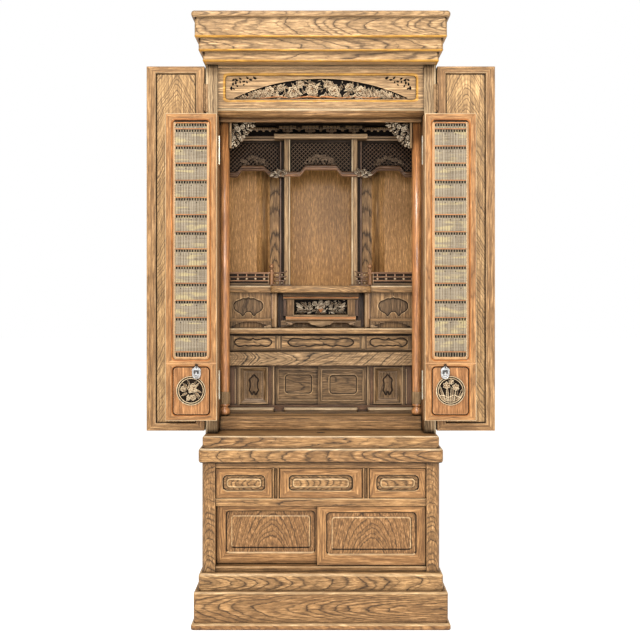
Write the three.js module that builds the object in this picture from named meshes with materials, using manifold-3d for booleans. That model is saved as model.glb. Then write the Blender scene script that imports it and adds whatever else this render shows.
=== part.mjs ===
// Household altar cabinet: a floor-standing wooden cabinet with folding outer doors, folding latticed
// inner doors, a small shrine on a stepped altar inside, and a base with drawers and sliding doors.
// Millimetres, +Z up, +Y towards the back. The construction is laid out from the front face of the
// pilasters (Y = 0) and the whole group is then moved so that the origin is the middle of the underside.
import * as THREE from 'three';
import { mergeVertices } from 'three/addons/utils/BufferGeometryUtils.js';
import Module from 'manifold-3d';

const wasm = await Module();
wasm.setup();

// ---------------------------------------------------------------- driving dimensions
const Y_BACK = 394;               // back of the base and of the cornice
const Y_FRONT = -66;              // front of the bottom moulding
const Y_MID = (Y_BACK + Y_FRONT) / 2;
const CASE_BACK = 392;

const MOULDING = { hw: 286, yf: -66, z0: 0, z1: 13.5 };
const PLINTH = { hw: 280.5, yf: -58, z0: 13.5, z1: 80.5 };
const STEP = { hw: 271, yf: -48, z0: 80.5, z1: 118 };
const LOWER = { hw: 265.5, yf: -36, z0: 118, z1: 362.5, stile: 30, wall: 14.5 };
const LEDGE_MOULDING = { hw: 271.5, yf: -50, z0: 362.5, z1: 394.5 };
const LEDGE = { hw: 263.5, yf: -40, z0: 394.5, z1: 421 };
const CASE = { hw: 262.5, z0: 421, z1: 1258, wall: 12.5, jamb: 234.75, jambDepth: 60 };
const CORNICE = [
  { name: 'cornice_lower', hw: 265, yf: -28, z0: 1258, z1: 1279 },
  { name: 'cornice_middle', hw: 273, yf: -38, z0: 1279, z1: 1307 },
  { name: 'cornice_upper', hw: 280.5, yf: -47, z0: 1307, z1: 1350.5 },
  { name: 'cornice_cap', hw: 287, yf: -55, z0: 1350.5, z1: 1364 },
];

// outer doors: two leaves a side, folded outer face to outer face, open at the case's side
const OUT = { w: 131.1, t: 21, z0: 427, z1: 1254, axisX: 264, axisY: -2.2, gap: 0.3, face: 1.2,
  fold: 0.4, stileHinge: 20, stileFold: 21.5, railTop: 16, railBottom: 18, recessIn: 6.5, recessOut: 4 };
// inner doors: two leaves a side, folded inner face to inner face, open in front of the pilasters
const INN = { w: 114.6, t: 19, z0: 455.5, z1: 1139, axisX: 231, axisY: -1.2, gap: 0.3, face: 0.3,
  fold: 0.4, stile: 15.5, screenZ0: 590.5, screenZ1: 1124.5, panelZ0: 467, panelZ1: 576,
  recess: 5, recessBack: 8, panelRecess: 3.5 };
const PULL = { fromEdge: 47, z: 563.5, w: 15, h: 29, t: 5.5 };
const BARREL_OUT = 2.2, BARREL_IN = 2.6, BARREL_FOLD = 1.6, NOTCH = 0.5;

const SHELL = { sillY: 44, floorY: 50, sillZ: 442, floorZ: 451.5, headZ: 1160.5, ceilingZ1: 1170 };
const ALTAR = { hw: 249.5, back: 372 };
const TOP_Z = 757.5;              // top of the altar, where the shrine and the railings stand

// ---------------------------------------------------------------- solids
function toSolid(geometry) {
  const g = geometry.index ? geometry.toNonIndexed() : geometry.clone();
  for (const name of Object.keys(g.attributes)) if (name !== 'position') g.deleteAttribute(name);
  const merged = mergeVertices(g, 1e-4);
  const make = (tri) => new wasm.Manifold(new wasm.Mesh({
    numProp: 3, vertProperties: merged.attributes.position.array, triVerts: tri }));
  const tri = new Uint32Array(merged.index.array);
  const solid = make(tri);
  if (solid.volume() > 0) return solid;
  for (let i = 0; i < tri.length; i += 3) [tri[i + 1], tri[i + 2]] = [tri[i + 2], tri[i + 1]];
  return make(tri);
}
function toGeometry(solid) {
  const mesh = solid.getMesh();
  const g = new THREE.BufferGeometry();
  g.setAttribute('position', new THREE.BufferAttribute(new Float32Array(mesh.vertProperties), 3));
  g.setIndex(new THREE.BufferAttribute(new Uint32Array(mesh.triVerts), 1));
  g.computeVertexNormals();
  return g;
}
const join = (...parts) => parts.flat().reduce((a, b) => a.add(b));
const cut = (body, ...tools) => tools.flat().reduce((a, b) => a.subtract(b), body);
function box(x0, x1, y0, y1, z0, z1) {
  if (x0 > x1) [x0, x1] = [x1, x0];
  const g = new THREE.BoxGeometry(x1 - x0, y1 - y0, z1 - z0);
  g.translate((x0 + x1) / 2, (y0 + y1) / 2, (z0 + z1) / 2);
  return toSolid(g);
}
const shapeOf = (points) => new THREE.Shape(points.map(([a, b]) => new THREE.Vector2(a, b)));
function extrude(points, depth) {
  return new THREE.ExtrudeGeometry(shapeOf(points), { depth, bevelEnabled: false, curveSegments: 1 });
}
const BASIS_XZ = new THREE.Matrix4().makeBasis(
  new THREE.Vector3(1, 0, 0), new THREE.Vector3(0, 0, 1), new THREE.Vector3(0, -1, 0));
const BASIS_YZ = new THREE.Matrix4().makeBasis(
  new THREE.Vector3(0, 1, 0), new THREE.Vector3(0, 0, 1), new THREE.Vector3(1, 0, 0));
function plateXZ(points, y0, y1) {     // an outline seen from the front, between two depths
  const g = extrude(points, y1 - y0).applyMatrix4(BASIS_XZ);
  g.translate(0, y1, 0);
  return toSolid(g);
}
function barYZ(points, x0, x1) {       // a side profile, run along X
  const g = extrude(points, x1 - x0).applyMatrix4(BASIS_YZ);
  g.translate(x0, 0, 0);
  return toSolid(g);
}
function slabXY(points, z0, z1) {      // a plan outline, between two heights
  const g = extrude(points, z1 - z0);
  g.translate(0, 0, z0);
  return toSolid(g);
}
function turned(profile, x, y, segments = 16) {   // [radius, z] from the foot up
  const pts = [[0, profile[0][1]], ...profile, [0, profile[profile.length - 1][1]]];
  const g = new THREE.LatheGeometry(pts.map(([r, z]) => new THREE.Vector2(r, z)), segments);
  g.rotateX(Math.PI / 2);
  g.translate(x, y, 0);
  return toSolid(g);
}
function rod(x, y, z0, z1, r, segments = 10) {
  return turned([[r, z0], [r, z1]], x, y, segments);
}
function roundedRect(x0, x1, z0, z1, r, n = 3) {
  const pts = [];
  for (const [cx, cz, a0] of [[x1 - r, z0 + r, -90], [x1 - r, z1 - r, 0], [x0 + r, z1 - r, 90], [x0 + r, z0 + r, 180]])
    for (let i = 0; i <= n; i++) {
      const a = THREE.MathUtils.degToRad(a0 + 90 * i / n);
      pts.push([cx + r * Math.cos(a), cz + r * Math.sin(a)]);
    }
  return pts;
}
// A board round three sides of the cabinet whose edge follows a profile of [inset, z] pairs: each
// level is a plan outline with rounded front corners, square at the back.
function moulded({ hw, yf }, back, profile, corner = 5, n = 2) {
  const rings = profile.map(([inset, z]) => {
    const h = hw - inset, f = yf + inset, r = Math.max(corner - inset * 0.5, 0.8);
    const ring = [];
    for (let i = 0; i <= n; i++) {
      const a = Math.PI * (1 + 0.5 * i / n);
      ring.push([-h + r + r * Math.cos(a), f + r + r * Math.sin(a)]);
    }
    for (let i = 0; i <= n; i++) {
      const a = Math.PI * (1.5 + 0.5 * i / n);
      ring.push([h - r + r * Math.cos(a), f + r + r * Math.sin(a)]);
    }
    ring.push([h, back], [-h, back]);
    return ring.map(([x, y]) => new THREE.Vector3(x, y, z));
  });
  const m = rings[0].length, pos = [], idx = [];
  rings.flat().forEach((p) => pos.push(p.x, p.y, p.z));
  for (let k = 0; k + 1 < rings.length; k++)
    for (let i = 0; i < m; i++) {
      const a = k * m + i, b = k * m + (i + 1) % m;
      idx.push(a, b, b + m, a, b + m, a + m);
    }
  const last = (rings.length - 1) * m;
  for (let i = 1; i + 1 < m; i++) { idx.push(0, i + 1, i); idx.push(last, last + i, last + i + 1); }
  const g = new THREE.BufferGeometry();
  g.setAttribute('position', new THREE.BufferAttribute(new Float32Array(pos), 3));
  g.setIndex(idx);
  return toSolid(g);
}

// ---------------------------------------------------------------- the group
const root = new THREE.Group();
root.name = 'altar_cabinet';
root.position.set(0, -Y_MID, 0);
const WOOD = { color: 0xb98a52, roughness: 0.55, metalness: 0 };
const DARK = { color: 0x7d5c38, roughness: 0.55, metalness: 0 };
const RED = { color: 0x8a4a24, roughness: 0.45, metalness: 0 };
const METAL = { color: 0xc9bfa6, roughness: 0.35, metalness: 1 };
const SILVER = { color: 0xc8c8c8, roughness: 0.3, metalness: 1 };
function put(name, solid, look = WOOD, group = root) {
  const mesh = new THREE.Mesh(toGeometry(solid), new THREE.MeshStandardMaterial(look));
  mesh.name = name;
  group.add(mesh);
  return mesh;
}
const SIDES = [['left', -1], ['right', 1]];
const mx = (s, a, b) => (s < 0 ? [-b, -a] : [a, b]);            // a span of |X| on one side
const mirrored = (s, pts) => pts.map(([x, z]) => [s * x, z]);

// ---------------------------------------------------------------- base and lower case
put('base_moulding', moulded(MOULDING, Y_BACK, [[1.5, 0], [0, 2], [0, 8.5], [1.6, 11.8], [4.5, 13.5]], 6));
put('base_plinth', moulded(PLINTH, Y_BACK, [[0, PLINTH.z0], [0, 76], [1.3, 79.2], [4, 80.5]], 4));
put('base_step', moulded(STEP, Y_BACK, [[0, STEP.z0], [0, 112], [1.8, 116.2], [5.5, 118]], 4));

const OPEN_X = LOWER.hw - LOWER.stile;                           // 235.5
const DRAWER_Z0 = 280.5, DRAWER_Z1 = 348.5, CUP_Z0 = 128.5, CUP_Z1 = 263.5;
const DIVIDER = [93.5, 108];
const LOWER_BAYS = [['left', -OPEN_X, -DIVIDER[1]], ['centre', -DIVIDER[0], DIVIDER[0]], ['right', DIVIDER[1], OPEN_X]];
put('lower_case', cut(
  moulded(LOWER, CASE_BACK, [[0, LOWER.z0], [0, LOWER.z1]], 8, 3),
  box(-OPEN_X, OPEN_X, -40, -31, 110, 370),
  LOWER_BAYS.map(([, a, b]) => box(a, b, -40, 380, DRAWER_Z0, DRAWER_Z1)),
  box(-OPEN_X, OPEN_X, -40, 380, CUP_Z0, CUP_Z1),
  box(-251, 251, 4, 380, CUP_Z0, CUP_Z1)));

function drawer(x0, x1, z0, z1, yf, frontT, back, wall, side, low, high) {
  const body = join(
    box(x0, x1, yf, yf + frontT, z0, z1),
    box(x0 + side, x1 - side, yf + frontT - 1, back, z0 + low, z1 - high));
  return cut(body, box(x0 + side + wall, x1 - side - wall, yf + frontT, back - wall, z0 + low + wall * 0.7, z1 + 5));
}
for (const [name, a, b] of LOWER_BAYS) {
  const x0 = a + 1, x1 = b - 1, z0 = DRAWER_Z0 + 1, z1 = DRAWER_Z1 - 1, yf = -30.5;
  const rim = name === 'centre' ? 20 : 14.5;
  const field = cut(
    plateXZ(roundedRect(x0 + rim, x1 - rim, z0 + 15, z1 - 14.5, 11), yf - 4, yf + 5),
    plateXZ(roundedRect(x0 + rim + 10, x1 - rim - 10, z0 + 24, z1 - 23.5, 8), yf - 5, yf + 6));
  put('lower_drawer_' + name, cut(drawer(x0, x1, z0, z1, yf, 16, 330, 9, 4, 4, 8), field));
}
const SLIDE_W = 242.5;
for (const [name, x0, y0] of [['left', -OPEN_X + 1, -12.5], ['right', OPEN_X - 1 - SLIDE_W, -26.5]]) {
  const x1 = x0 + SLIDE_W, z0 = CUP_Z0 + 1, z1 = CUP_Z1 - 1;
  const ring = cut(
    plateXZ(roundedRect(x0 + 18, x1 - 18, z0 + 21.5, z1 - 12, 10), y0 - 1, y0 + 3.5),
    plateXZ(roundedRect(x0 + 32, x1 - 32, z0 + 36, z1 - 25, 6), y0 - 2, y0 + 4));
  put('lower_sliding_door_' + name, cut(box(x0, x1, y0, y0 + 11.5, z0, z1), ring));
}
put('ledge_moulding', moulded(LEDGE_MOULDING, Y_BACK,
  [[3.5, 362.5], [1, 365], [0, 369], [0, 388], [1, 392], [3.5, 394.5]], 9, 3));
put('ledge_slab', moulded(LEDGE, Y_BACK, [[0, 394.5], [0, 417.5], [0.8, 420], [3, 421]], 4));

// ---------------------------------------------------------------- upper case
put('upper_case', join(
  SIDES.map(([, s]) => join(
    box(...mx(s, CASE.hw - CASE.wall, CASE.hw), 0, CASE_BACK, CASE.z0, CASE.z1),
    box(...mx(s, CASE.jamb, CASE.hw), 0, CASE.jambDepth, CASE.z0, CASE.z1))),
  box(-CASE.hw, CASE.hw, 382, CASE_BACK, CASE.z0, CASE.z1),
  box(-CASE.hw, CASE.hw, CASE.jambDepth, CASE_BACK, CASE.z0, SHELL.sillZ),
  box(-CASE.hw, CASE.hw, 24, CASE_BACK, 1244, CASE.z1),
  box(-CASE.hw + 5, CASE.hw - 5, CASE.jambDepth, CASE_BACK, SHELL.headZ, SHELL.ceilingZ1)), WOOD);

// frieze: a board with a rounded sunk field and an arched opening that holds the carved transom
const IN_X = CASE.jamb - 0.25;
const ARCH = { half: 203, z0: 1183, rise: 46.5 };
function archOutline(grow, n = 20) {
  const half = ARCH.half + grow * 3, rise = ARCH.rise + grow;
  const r = (half * half + rise * rise) / (2 * rise), c = ARCH.z0 - grow * 0.5 + rise - r;
  const a = Math.asin(half / r), pts = [];
  for (let i = 0; i <= n; i++) {
    const t = a - 2 * a * i / n;
    pts.push([r * Math.sin(t), c + r * Math.cos(t)]);
  }
  return pts;
}
put('frieze_panel', cut(
  join(box(-IN_X, IN_X, 8, 22, SHELL.headZ + 0.3, CASE.z1 - 0.3), box(-IN_X, IN_X, 4, 8, 1251.5, CASE.z1 - 0.3)),
  plateXZ(roundedRect(-220, 220, 1177.5, 1238.5, 7), 0, 12.5),
  plateXZ(archOutline(0), 10, 24)));
put('transom_carving', plateXZ(archOutline(-0.4), 11, 20), DARK);

const headProfile = [[24, 1160.5], [24, 1141.5]];
for (let i = 0; i <= 6; i++) {
  const a = Math.PI * i / 6;
  headProfile.push([10.5 - 9.5 * Math.sin(a), 1151 - 9.5 * Math.cos(a)]);
}
put('door_head_rail', join(
  barYZ(headProfile, -IN_X, IN_X),
  box(-IN_X, IN_X, 20, 59.7, 1147, SHELL.headZ),
  box(-249.5, 249.5, 60.3, 95, 1147, SHELL.headZ - 0.3),
  box(-IN_X, IN_X, 50, 70, 1147, SHELL.headZ - 0.3),
  box(-IN_X, IN_X, 40, 52, 1137, 1148)));
put('door_sill', join(
  box(-IN_X, IN_X, SHELL.sillY, 59.7, CASE.z0 + 0.3, SHELL.sillZ),
  box(-IN_X, IN_X, SHELL.floorY, 70, SHELL.sillZ + 0.3, SHELL.floorZ),
  box(-IN_X, IN_X, SHELL.floorY, 59.7, SHELL.sillZ - 2, SHELL.floorZ),
  box(-249.5, 249.5, 60.3, 104.5, SHELL.sillZ + 0.3, SHELL.floorZ)));

// ---------------------------------------------------------------- cornice
put('cornice_lower', moulded(CORNICE[0], Y_BACK, [[4, 1258], [1, 1259.8], [0, 1263], [0, 1279]], 3));
put('cornice_middle', moulded(CORNICE[1], Y_BACK, [[4.5, 1279], [1.2, 1281.2], [0, 1285], [0, 1307]], 4));
put('cornice_upper', moulded(CORNICE[2], Y_BACK, [[5, 1307], [1.4, 1309.4], [0, 1313.5], [0, 1350.5]], 4));
put('cornice_cap', moulded(CORNICE[3], Y_BACK, [[5, 1350.5], [1.6, 1352], [0, 1355.5], [0, 1359.5], [1.6, 1362.6], [4.5, 1364]], 7));

// ---------------------------------------------------------------- outer doors
// rest: leaf a stands out sideways from the case with its inner face to the front, leaf b folded behind it
const outHinges = [[1150, 1214], [471, 535]];
for (const [side, s] of SIDES) {
  const ax = s * OUT.axisX, ay = OUT.axisY;
  const x0 = OUT.axisX + OUT.gap, x1 = x0 + OUT.w;
  const ya = ay + OUT.face, yb = ya + OUT.t;
  const foldX = s * (x1 + OUT.fold), foldY = yb + 0.3;
  const panel = (y0, y1) => box(...mx(s, x0 + OUT.stileHinge, x1 - OUT.stileFold), y0, y1,
    OUT.z0 + OUT.railBottom, OUT.z1 - OUT.railTop);
  const foldPin = rod(foldX, foldY, OUT.z0 + 12, OUT.z1 - 12, BARREL_FOLD + NOTCH, 8);
  put('outer_door_' + side + '_a', cut(
    box(...mx(s, x0, x1), ya, yb, OUT.z0, OUT.z1),
    panel(ya - 1, ya + OUT.recessIn), panel(yb - OUT.recessOut, yb + 1), foldPin,
    outHinges.map(([a, b]) => rod(ax, ay, a - 1, b + 1, BARREL_OUT + NOTCH))));
  const yc = yb + 0.6, yd = yc + OUT.t;
  put('outer_door_' + side + '_b', cut(
    box(...mx(s, x0, x1), yc, yd, OUT.z0, OUT.z1),
    panel(yc - 1, yc + OUT.recessOut), panel(yd - OUT.recessIn, yd + 1), foldPin));
  outHinges.forEach(([a, b], i) => put('outer_hinge_' + side + '_' + ['upper', 'lower'][i], join(
    rod(ax, ay, a, b, BARREL_OUT),
    box(...mx(s, 247, OUT.axisX - 0.5), -1.4, -0.3, a, b)), METAL));
  put('outer_fold_hinge_' + side, rod(foldX, foldY, OUT.z0 + 13, OUT.z1 - 13, BARREL_FOLD, 8), METAL);
}

// ---------------------------------------------------------------- inner doors
// rest: leaf a stands out sideways in front of the pilaster, leaf b folded in front of it, so that
// leaf b's outer face, with its lattice, its carved roundel and its drop pull, is the one that shows
const innHinges = [[1031, 1096], [499, 564]];
for (const [side, s] of SIDES) {
  const ax = s * INN.axisX, ay = INN.axisY;
  const x0 = INN.axisX + INN.gap, x1 = x0 + INN.w;
  const yb = ay - INN.face, ya = yb - INN.t;
  const foldX = s * (x1 + INN.fold), foldY = ya - 0.3;
  const yd = ya - 0.6, yc = yd - INN.t;
  const foldPin = rod(foldX, foldY, INN.z0 + 12, INN.z1 - 12, BARREL_FOLD + NOTCH, 8);
  const window_ = (y0, y1) => box(...mx(s, x0 + INN.stile, x1 - INN.stile), y0, y1, INN.screenZ0, INN.screenZ1);
  const lower = (y0, y1) => box(...mx(s, x0 + INN.stile, x1 - INN.stile), y0, y1, INN.panelZ0, INN.panelZ1);
  // leaf a: its outer face is at the back (yb), its inner face at the front (ya)
  put('inner_door_' + side + '_a', cut(
    box(...mx(s, x0, x1), ya, yb, INN.z0, INN.z1),
    window_(yb - INN.recess, yb + 1), window_(ya - 1, ya + INN.recessBack),
    lower(yb - INN.panelRecess, yb + 1), lower(ya - 1, ya + INN.panelRecess), foldPin,
    innHinges.map(([a, b]) => rod(ax, ay, a - 1, b + 1, BARREL_IN + NOTCH))));
  // leaf b: its inner face is at the back (yd), its outer face at the front (yc)
  put('inner_door_' + side + '_b', cut(
    box(...mx(s, x0, x1), yc, yd, INN.z0, INN.z1),
    window_(yc - 1, yc + INN.recess), window_(yd - INN.recessBack, yd + 1),
    lower(yc - 1, yc + INN.panelRecess), lower(yd - INN.panelRecess, yd + 1), foldPin));
  innHinges.forEach(([a, b], i) => put('inner_hinge_' + side + '_' + ['upper', 'lower'][i], join(
    rod(ax, ay, a, b, BARREL_IN),
    box(...mx(s, INN.axisX + 0.5, CASE.jamb - 0.3), 0.4, 15, a, b),
    box(...mx(s, INN.axisX, CASE.jamb - 0.3), -0.6, 1.4, a, b)), METAL));
  put('inner_fold_hinge_' + side, rod(foldX, foldY, INN.z0 + 13, INN.z1 - 13, BARREL_FOLD, 8), METAL);
  // drop pull: a shield plate with a hanging drop, fixed on leaf b
  const px = x0 + PULL.fromEdge, k = PULL.w / 2, h = PULL.h / 2;
  put('door_pull_' + side, join(box(...mx(s, px - 4, px + 4), yc - 1, yc + INN.panelRecess, 552, 574), plateXZ(mirrored(s, [[px - 2, PULL.z + h], [px - k * 0.75, PULL.z + h * 0.55],
    [px - k, PULL.z + h * 0.1], [px - k * 0.8, PULL.z - h * 0.5], [px - 2.5, PULL.z - h],
    [px + 2.5, PULL.z - h], [px + k * 0.8, PULL.z - h * 0.5], [px + k, PULL.z + h * 0.1],
    [px + k * 0.75, PULL.z + h * 0.55], [px + 2, PULL.z + h]]), yc - PULL.t, yc)), SILVER);
}

// ---------------------------------------------------------------- columns and corner brackets
for (const [side, s] of SIDES) {
  put('column_' + side, turned([
    [9, 451.8], [12.2, 455], [12.6, 461], [11, 467], [7.8, 470.5], [7.8, 473], [11.4, 475.5], [11.4, 478],
    [12.3, 479.5], [12.3, 507], [11.5, 509], [11.5, 1146.7]], s * 226.8, 75), RED);
  const pts = [[215.1, 1146.7]];
  for (let i = 0; i <= 6; i++) {
    const a = Math.PI / 2 * i / 6;
    pts.push([146 + 61 * Math.sin(a) ** 1.2, 1141 - 61 * (1 - Math.cos(a)) ** 0.8]);
  }
  pts.push([215.1, 1079]);
  pts.splice(1, 0, [146, 1146.7]);
  put('corner_bracket_' + side, plateXZ(mirrored(s, pts), 68, 78), DARK);
}

// ---------------------------------------------------------------- altar, from the floor up
const A = ALTAR.hw;
put('altar_lower_case', cut(
  join(
    box(-A, A, 130, ALTAR.back, 442.3, 600),
    box(-A, A, 105, 131, 442.3, 454),
    box(-A, A, 105, 122, 442.3, 463),
    box(-A, A, 104.8, 131, 566, 598)),
  box(-113, 113, 120, 364, 467, 563),
  SIDES.map(([, s]) => [
    box(...mx(s, 88.5, 112.5), 100, 114, 455, 470),
    cut(box(...mx(s, 128, 197), 120, 136, 470, 561), box(...mx(s, 142, 183), 132, 140, 482, 549)),
    box(...mx(s, 205, 219), 120, 138, 468, 563),
    plateXZ(mirrored(s, roundedRect(153, 172, 494, 539, 6, 2)), 130, 134.5)]).flat()), DARK);
put('altar_sliding_panel_left', cut(box(-112.5, 7, 143.5, 150, 467.5, 562.5),
  plateXZ(roundedRect(-101, -18, 480, 551, 3, 1), 142, 145)), DARK);
put('altar_sliding_panel_right', cut(box(-7, 112.5, 135, 141.5, 467.5, 562.5),
  plateXZ(roundedRect(4, 101, 480, 551, 3, 1), 134, 136.5)), DARK);
const ALTAR_BAYS = [['left', -212, -110], ['centre', -95, 95], ['right', 110, 212]];
put('altar_drawer_case', cut(
  box(-A, A, 125, ALTAR.back, 600, 642),
  ALTAR_BAYS.map(([, a, b]) => box(a, b, 120, 364, 604.5, 636.5))), DARK);
for (const [name, a, b] of ALTAR_BAYS)
  put('altar_drawer_' + name, cut(drawer(a + 0.7, b - 0.7, 605, 636, 125.5, 8, 300, 5, 2, 1.5, 3),
    plateXZ(roundedRect(a + 10, b - 10, 612, 629, 6, 2), 120, 127.5)), DARK);
put('altar_shelf', barYZ([[ALTAR.back, 642], [ALTAR.back, 654.5], [111, 654.5], [108.8, 653.4], [108, 651],
  [108, 645.5], [109, 643], [111, 642]], -A, A), DARK);

const D0 = 654.5, D1 = 741;
function kidney(s, cx, grow) {          // the bat-shaped sunk field of the side panels
  const pts = [];
  for (let i = 0; i < 20; i++) {
    const a = 2 * Math.PI * i / 20;
    const dip = Math.exp(-(((a - 1.5 * Math.PI) / 0.42) ** 2));
    pts.push([cx + (34 + grow) * Math.cos(a), 706.5 + (22 + grow) * Math.sin(a) * (1 - 0.42 * dip)]);
  }
  return mirrored(s, pts);
}
put('altar_dais', cut(
  join(
    SIDES.map(([, s]) => join(
      box(...mx(s, 107.5, A), 155, ALTAR.back, D0, D1),
      box(...mx(s, 107.5, 121), 148, 156, D0, D1),
      box(...mx(s, 107.5, A), 150, 156, 670.5, 677.5))),
    box(-108, 108, 205, ALTAR.back, D0, D1),
    box(-92.5, 92.5, 168, 206, D0, D1),
    box(-92.5, 92.5, 160, 169, 724, D1),
    box(-86, 86, 158, 169, 671.5, 683.5)),
  plateXZ(roundedRect(-66, 66, 686.5, 723, 1, 1), 150, 175),
  plateXZ([[-70, D0 - 1], [-66, 661], [-54, 668], [-30, 668], [-20, 660], [0, 656.5], [20, 660], [30, 668], [54, 668], [66, 661], [70, D0 - 1]], 150, 182),
  SIDES.map(([, s]) => [
    plateXZ(kidney(s, 178, 0), 150, 159),
    plateXZ(mirrored(s, [[124, D0 - 1], [130, 660], [142, 668.5], [196, 668.5], [208, 662], [215, D0 - 1]]), 140, 172)]).flat()), DARK);

const bow = [[-122, 372], [-122, 150]];
bow.length = 1;
for (let i = 0; i <= 12; i++) {
  const t = -1 + 2 * i / 12;
  bow.push([122 * t, 120 - 14 * (1 - t * t) + (Math.abs(t) > 0.99 ? 4 : 0)]);
}
bow.push([122, 372]);
put('altar_top', join(
  slabXY(bow, D1, TOP_Z),
  SIDES.map(([, s]) => barYZ([[ALTAR.back, D1], [ALTAR.back, TOP_Z], [148, TOP_Z], [145.6, 756], [145, 753],
    [145, 745], [146, 742], [148, D1]], ...mx(s, 121, A)))), DARK);

// ---------------------------------------------------------------- railings
for (const [side, s] of SIDES) {
  const bar = (x0, x1, z0, z1, y0 = 152, y1 = 158) => box(...mx(s, x0, x1), y0, y1, z0, z1);
  const curl = (z) => plateXZ(mirrored(s, [[115, z], [94, z], [88, z + 1.5], [83, z + 5], [82, z + 3.2], [87.5, z - 1.2], [94, z - 2.6], [115, z - 2.6]].reverse()), 152.5, 157.5);
  put('railing_' + side, join(
    bar(72, 228, TOP_Z, TOP_Z + 3.5, 150, 160),
    bar(127, 228, TOP_Z + 3, TOP_Z + 7, 151, 159),
    bar(115, 228, 787, 791.5), bar(115, 228, 778, 780.5), bar(115, 228, 769, 771.5),
    [128.5, 153, 177, 201, 225].map((x) => bar(x, x + 3.2, TOP_Z + 2, 789)),
    curl(790), curl(780.2), bar(84, 116, 768.5, 771),
    bar(99, 102.5, TOP_Z + 2, 789),
    turned([[6.2, TOP_Z + 1], [6.2, 796], [4.4, 798], [3.2, 800], [3.4, 801.5], [6.4, 804], [6.6, 806.5], [4.2, 810], [0.8, 813.5]],
      s * 120.5, 155, 10)), RED);
}

// ---------------------------------------------------------------- shrine
const smooth = (t) => { t = Math.min(1, Math.max(0, t)); return t * t * (3 - 2 * t); };
function wavy(x0, x1, a0, a1, b0, b1, low, high, thick) {   // a lintel that lifts between a1 and b0
  const mid = (x) => low + (high - low) * Math.min(smooth((x - a0) / (a1 - a0)), smooth((b1 - x) / (b1 - b0)));
  const xs = [x0];
  for (const [p, q] of [[a0, a1], [b0, b1]]) for (let i = 0; i <= 4; i++) xs.push(p + (q - p) * i / 4);
  xs.push(x1);
  return [...xs.map((x) => [x, mid(x) - thick / 2]), ...xs.slice().reverse().map((x) => [x, mid(x) + thick / 2])];
}
const Z0 = TOP_Z + 0.3, ROOF = SHELL.headZ - 0.5;
put('shrine_front', join(
  box(-115, 115, 160, 201, 1121, 1132),
  box(-190, 190, 190, 216, 1131, ROOF),
  plateXZ(wavy(-100, 100, -54, -36, 36, 54, 1034.5, 1050.5, 12), 170, 180),
  box(-77, 77, 186, 190, 1036, 1122),
  SIDES.map(([, s]) => join(
    box(...mx(s, 76.5, 91), 176, 201, Z0, 1122),
    box(...mx(s, 84, 104), 200, 216, Z0, 1132),
    box(...mx(s, 103, 249), 208, 216, 1124, 1136),
    box(...mx(s, 103, 249), 212, 216, 1038, 1125),
    plateXZ(mirrored(s, wavy(96, 249, 122.5, 148, 196, 213, 1034.5, 1050.5, 12)), 202, 212.5)))), DARK);
put('shrine_back_panel', join(
  box(-104, 104, 322, 330, Z0, ROOF),
  SIDES.map(([, s]) => join(
    box(...mx(s, 92, 249), 302, 310, Z0, ROOF),
    box(...mx(s, 92, 104), 302, 330, Z0, ROOF)))), WOOD);

export default root;
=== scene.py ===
"""Household altar cabinet: the finish of every surface, and the carved, latticed and woven work.

Every piece is built in millimetres in the cabinet's own layout (X right, Y back from the front face of
the pilasters, Z up from the floor) and is moved into the frame when its mesh is made. Each wooden
piece carries a vector attribute, "gco", which says where each point lies in the log that its board
was cut from: along the grain, across it, and the distance from the heart. The wood materials draw
their annual rings from it, so the figure runs along each board and turns at each mitre."""

import bpy
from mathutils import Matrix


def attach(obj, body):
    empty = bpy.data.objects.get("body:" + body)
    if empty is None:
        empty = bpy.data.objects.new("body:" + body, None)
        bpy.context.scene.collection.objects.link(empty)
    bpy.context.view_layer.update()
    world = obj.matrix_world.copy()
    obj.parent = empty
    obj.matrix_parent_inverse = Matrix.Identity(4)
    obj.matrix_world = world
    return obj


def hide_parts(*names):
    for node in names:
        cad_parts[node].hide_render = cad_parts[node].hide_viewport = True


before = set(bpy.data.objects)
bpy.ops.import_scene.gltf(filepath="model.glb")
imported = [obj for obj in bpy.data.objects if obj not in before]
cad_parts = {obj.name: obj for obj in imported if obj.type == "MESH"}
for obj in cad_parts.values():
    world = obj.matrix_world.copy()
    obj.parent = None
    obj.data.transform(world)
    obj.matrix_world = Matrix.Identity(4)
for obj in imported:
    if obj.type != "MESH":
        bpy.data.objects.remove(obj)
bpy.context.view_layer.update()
import bpy, bmesh, math, random
from mathutils import Vector, Matrix

YM = 164.0                       # the frame's origin lies this far behind the pilasters' front face
PI = math.pi


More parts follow.
